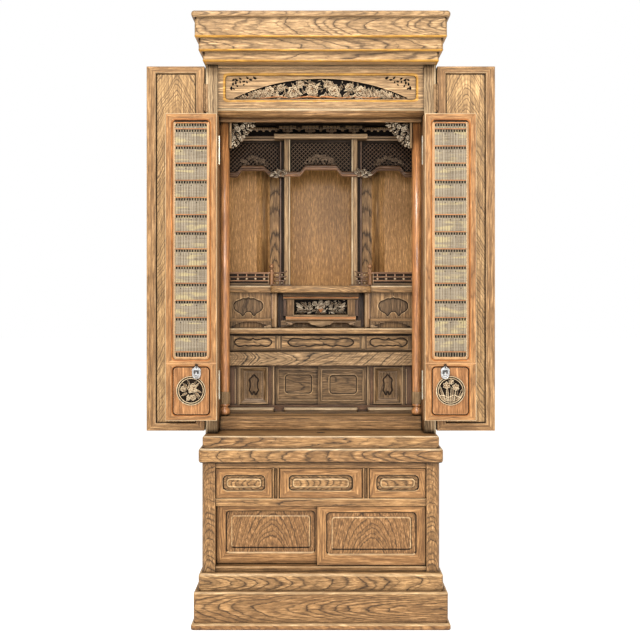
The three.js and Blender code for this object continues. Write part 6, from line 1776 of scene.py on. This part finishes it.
def lattice(poly, y, pitch, w, m, m2, x_off=0.0):
    """Bars both ways at 45 degrees, clipped to an outline, one way in front of the other."""
    xs = [q[0] for q in poly]
    zs = [q[1] for q in poly]
    x0, x1, z0, z1 = min(xs), max(xs), min(zs), max(zs)
    H = z1 - z0
    for d, yy, mm in ((1, y, m), (-1, y + 1.5, m2)):
        n_ = int((x1 - x0 + 2 * H) / pitch) + 2
        for i in range(n_):
            xb = x0 - H + i * pitch + x_off
            a = (xb, z0) if d > 0 else (xb + H, z0)
            b = (xb + H, z1) if d > 0 else (xb, z1)
            for (ax, az), (bx, bz) in clip_seg(a, b, poly):
                Ls = math.hypot(bx - ax, bz - az)
                if Ls < 2:
                    continue
                ux, uz = (bx - ax) / Ls, (bz - az) / Ls
                nx, nz = -uz * w / 2, ux * w / 2
                plate(p, [(ax + nx, az + nz), (bx + nx, bz + nz), (bx - nx, bz - nz), (ax - nx, az - nz)], yy, yy + 2.2, None, mm, 0.4)


def wave(x, a0, a1, b0, b1, low, high):
    return low + (high - low) * min(smooth01((x - a0) / (a1 - a0)), smooth01((b1 - x) / (b1 - b0)))


# centre lattice, over a backing painted black as shade
poly = [(-76, 1121)] + [(-76 + 152 * i / 40, wave(-76 + 152 * i / 40, -54, -36, 36, 54, 1034.5, 1050.5)) for i in range(41)] + [(76, 1121)]
plate(p, ccw([(x, z) for x, z in poly]), 191.5, 193, None, 5, 0.2)
lattice(ccw(poly), 186.2, 10.2, 1.4, 4, 4)
board(p, -76.4, 76.4, 184.4, 190, 1114.5, 1121.3, plain_grain('x', 'y', (0, 184, 1118)), 0.7, 6)
for s in (-1, 1):
    board(p, s * 73.4, s * 76.4, 184.8, 190, 1040, 1115, plain_grain('z', 'y', (s * 75, 184, 1080)), 0.6, 6)
    polyS = [(104, 1124)] + [(104 + 144 * i / 40, wave(104 + 144 * i / 40, 122.5, 148, 196, 213, 1038.0, 1054.0)) for i in range(41)] + [(248, 1124)]
    polyS = ccw([(s * x, z) for x, z in polyS])
    # a backing painted black as shade behind each side lattice; one way of its bars is in the darker lintel wood as
    # painted shade
    plate(p, polyS, 217, 218.4, None, 5, 0.2)
    lattice(polyS, 212.2, 10.2, 1.4, 4 if s < 0 else 3, 3 if s < 0 else 4, 3.0)
    board(p, s * 103.6, s * 249, 210.6, 216, 1117.6, 1124.4, plain_grain('x', 'y', (s * 180, 184, 1118)), 0.7, 6)
    # a cut corner in the frame by the post
    plate(p, ccw([(s * 103.6, 1118), (s * 103.6, 1104), (s * 117, 1118)]), 211, 214, None, 6, 0.5)
    plate(p, ccw([(s * 76.4, 1115), (s * 76.4, 1104), (s * 66, 1115)]), 185, 189, None, 6, 0.5)

# clusters of small carved sprays over the lattices
rl = random.Random(8)
for cx0, yy, wd in ((0, 184.6, 58), (-172, 210.8, 56), (172, 210.8, 56)):
    for i in range(42):
        u = rl.uniform(-1, 1)
        x = cx0 + u * wd * 0.62
        z = 1064 + rl.uniform(0, 1) * 26 * (1 - 0.6 * abs(u)) - 4
        a = rl.uniform(0, 2 * PI)
        leaf(p, x, z, yy, a, rl.uniform(6, 10), 3.4, (0.6, 2.4), 'leaf', 4, rl.uniform(-0.9, 0.9), 0.9, 2.0, 6, 4, False, 0.15)
    for i in range(7):
        u = -1 + 2 * (i + 0.5) / 7
        flower(p, cx0 + u * wd * 0.55, 1070 + 12 * (1 - abs(u)) + rl.uniform(-4, 4), yy, 5.0, rl, 4, False, 0.5)

# wavy lintels with a moulded face
def lintel(x0, x1, a0, a1, b0, b1, low, high, thick, y0, y1, mats, mir=1, n=90):
    base = len(p.v)
    zoff = [(-thick / 2, y1), (-thick / 2, y0 + 2.2), (-thick / 2 + 1.2, y0 + 0.6), (-thick / 2 + 3.0, y0), (-0.4, y0 + 0.5), (0.6, y0 + 1.3), (1.4, y0 + 1.1), (thick / 2 - 1.6, y0 + 0.9), (thick / 2, y0 + 2.4), (thick / 2, y1)]
    k = len(zoff)
    for i in range(n + 1):
        x = x0 + (x1 - x0) * i / n
        zc = wave(x, a0, a1, b0, b1, low, high)
        for dz, y in zoff:
            p.v.append((mir * x, y, zc + dz))
    gl_ = plain_grain('x', 'y', (x0, y0, low))
    for i in range(n):
        for j in range(k):
            jj = (j + 1) % k
            a, b, c, d = base + i * k + j, base + (i + 1) * k + j, base + (i + 1) * k + jj, base + i * k + jj
            q = (a, b, c, d)
            p.face(q if mir > 0 else q[::-1], gl_, mats[0] if j < 5 else mats[1], j not in (0, 8, 9))
    e0 = [base + j for j in range(k)]
    e1 = [base + n * k + j for j in range(k)]
    p.face(e0[::-1] if mir < 0 else e0, gl_, mats[0])
    p.face(e1 if mir < 0 else e1[::-1], gl_, mats[0])


# the centre lintel's lower faces are in the lit copy of the lintel wood: painted light
lintel(-100, 100, -54, -36, 36, 54, 1034.5, 1050.5, 12, 170.3, 180, (8, 3))
for s in (-1, 1):
    lintel(96, 249, 122.5, 148, 196, 213, 1038.0, 1054.0, 13, 202.3, 212.4, (3, 3), s)
    # carved ends where the lintels meet the posts
    for (x, z, a, L_) in ((96, 1036, PI, 13), (98, 1040, PI - 0.6, 11), (99, 1033, PI + 0.6, 10), (104, 1038, 0.3, 14), (106, 1033, -0.4, 12), (103, 1043, 0.9, 11), (112, 1040, 0.1, 13), (118, 1036, -0.2, 11)):
        leaf(p, x, z, 170.5 if x < 100 else 196.0, a, L_, L_ * 0.46, (1.0, 4.4), 'leaf', 9, rl.uniform(-0.6, 0.6), 1.4, 2.8, 7, 4, s < 0, 0.14)
    scroll(p, 108, 1039, 196, 0.5, 5.4, 1.2, 1.6, 9, s < 0, 1, 3.0)
    scroll(p, 90, 1034, 171, 3.4, 4.2, 1.0, 1.4, 9, s < 0, -1, 2.4)
    flower(p, 101, 1039, 190, 7.0, rl, 9, s < 0, 0.8)
    board(p, s * 92, s * 112, 196, 204, 1030, 1044, None, 1.0, 3)
p.make('shrine_front_wood', 'cabinet', [M_POST, M_IN, M_MASU, M_LINTEL_AND_SHADE, M_LATT, M_SHADOW_BLACK, M_SHADE, M_HIGHLIGHT_WOOD, M_LINT2, M_CARVE_IN], 'shrine_front', 'carving_wood')

# back panels: the centre, the returns with their own strip of figured wood, a hollow in a darker wood as painted shade,
# the sides
p = P()
board(p, -104, 104, 322, 330, ZS, 1160, grain('z', 'y', (4, 322, 950), 16, 0.012, 160, 100), 0.4, 0)
for s in (-1, 1):
    board(p, s * 92, s * 104, 302.4, 330, ZS, 1160, plain_grain('z', 'y', (s * 98, 302, 950)), 0.5, 2)
    # front outline of the side board seen from above, with the hollow
    fr = [(104, 302), (134, 302), (137, 302.6), (140, 304.2), (143.5, 306.4), (147, 307.6), (151, 307.4), (155, 305.8), (159.5, 303.6), (164, 302.4), (168, 302), (249, 302)]
    gS = grain('z', 'y', (s * 205, 302, 950), 16, 0.012, 170, 700)
    gF = grain('z', 'y', (s * 119, 302, 800), 30, 0.115, -1.0, 130)
    base = len(p.v)
    k = len(fr)
    for x, y in fr:
        for z in (ZS, 1160):
            p.v.append((s * x, y, z))
    for x, y in fr:
        for z in (ZS, 1160):
            p.v.append((s * x, 310, z))
    def fq(ids, g, m=0, sm=False):
        p.face(ids if s > 0 else ids[::-1], g, m, sm)
    for i in range(k - 1):
        a, b, c, d = base + 2 * i, base + 2 * i + 2, base + 2 * i + 3, base + 2 * i + 1
        mm = 1 if fr[i][0] < 134 else (2 if 140 <= fr[i][0] < 154 else 3)
        fq((a, b, c, d), gF if i < 1 else gS, mm, 1 <= i < k - 2)
        off = 2 * k
        fq((a + off, d + off, c + off, b + off), gS, 0)
        fq((a, a + off, b + off, b), gS, 0)
        fq((d, c, c + off, d + off), gS, 0)
    o = 2 * k
    fq((base, base + 1, base + 1 + o, base + o), gS, 0)
    e = base + 2 * (k - 1)
    fq((e, e + o, e + 1 + o, e + 1), gS, 0)
p.make('shrine_back_wood', 'cabinet', [M_BACK, M_FIG, M_HOLLOW_SHADE, M_BACKS], 'shrine_back_panel', 'interior_wood')

# ================================================================== floor, light and camera
def plane(name, z, size, mat):
    me = bpy.data.meshes.new(name)
    s = size
    me.from_pydata([(-s, -s, z), (s, -s, z), (s, s, z), (-s, s, z)], [], [(0, 1, 2, 3)])
    me.materials.append(mat)
    ob = bpy.data.objects.new(name, me)
    bpy.context.scene.collection.objects.link(ob)
    return ob


FL = Mat('floor_white')
FL.put(FL.b.inputs['Base Color'], FL.ramp(FL.noise(FL.obj(), 2.2, 3.0), [(0.3, (0.78, 0.78, 0.78)), (0.7, (0.82, 0.82, 0.82))]))
FL.b.inputs['Roughness'].default_value = 0.85
FL.b.inputs['Emission Color'].default_value = (1, 1, 1, 1)
FL.b.inputs['Emission Strength'].default_value = 0.70
FL.b.inputs['Specular IOR Level'].default_value = 0.1
plane('floor', -0.0006, 12.0, FL.m)

scene = bpy.context.scene
world = bpy.data.worlds.new('studio')
world.use_nodes = True
wt = world.node_tree
wt.nodes.clear()
lp = wt.nodes.new('ShaderNodeLightPath')
b_cam = wt.nodes.new('ShaderNodeBackground')
b_cam.inputs['Color'].default_value = (1, 1, 1, 1)
b_cam.inputs['Strength'].default_value = 1.0
b_lit = wt.nodes.new('ShaderNodeBackground')
b_lit.inputs['Color'].default_value = (1, 0.985, 0.96, 1)
b_lit.inputs['Strength'].default_value = 0.40
mx = wt.nodes.new('ShaderNodeMixShader')
wo = wt.nodes.new('ShaderNodeOutputWorld')
wt.links.new(lp.outputs['Is Camera Ray'], mx.inputs[0])
wt.links.new(b_lit.outputs[0], mx.inputs[1])
wt.links.new(b_cam.outputs[0], mx.inputs[2])
wt.links.new(mx.outputs[0], wo.inputs[0])
scene.world = world
scene.view_settings.view_transform = 'Standard'


def area(name, loc, target, size, power, col=(1, 1, 1)):
    li = bpy.data.lights.new(name, 'AREA')
    li.shape = 'RECTANGLE'
    li.size, li.size_y = size
    li.energy = power
    li.color = col
    ob = bpy.data.objects.new(name, li)
    bpy.context.scene.collection.objects.link(ob)
    ob.location = loc
    ob.rotation_euler = (Vector(target) - Vector(loc)).to_track_quat('-Z', 'Y').to_euler()
    return ob


area('key', (-0.55, -2.2, 3.0), (0, 0, 0.75), (1.3, 0.9), 76)
area('fill', (1.2, -2.6, 1.5), (0, 0, 0.7), (1.0, 1.4), 20)
area('inner', (0.0, -2.3, 1.15), (0, 0.1, 0.85), (0.35, 0.5), 18)

cam = bpy.data.cameras.new('camera')
cam.sensor_width = 36
cam.lens = 36 * (1900 / 2.27) / 640
cam.shift_x = -0.8 / 640
cam.shift_y = -25.0 / 640
co = bpy.data.objects.new('camera', cam)
bpy.context.scene.collection.objects.link(co)
co.location = (0, (-1900 - YM) / 1000, 0.7351)
co.rotation_euler = (PI / 2, 0, 0)
scene.camera = co
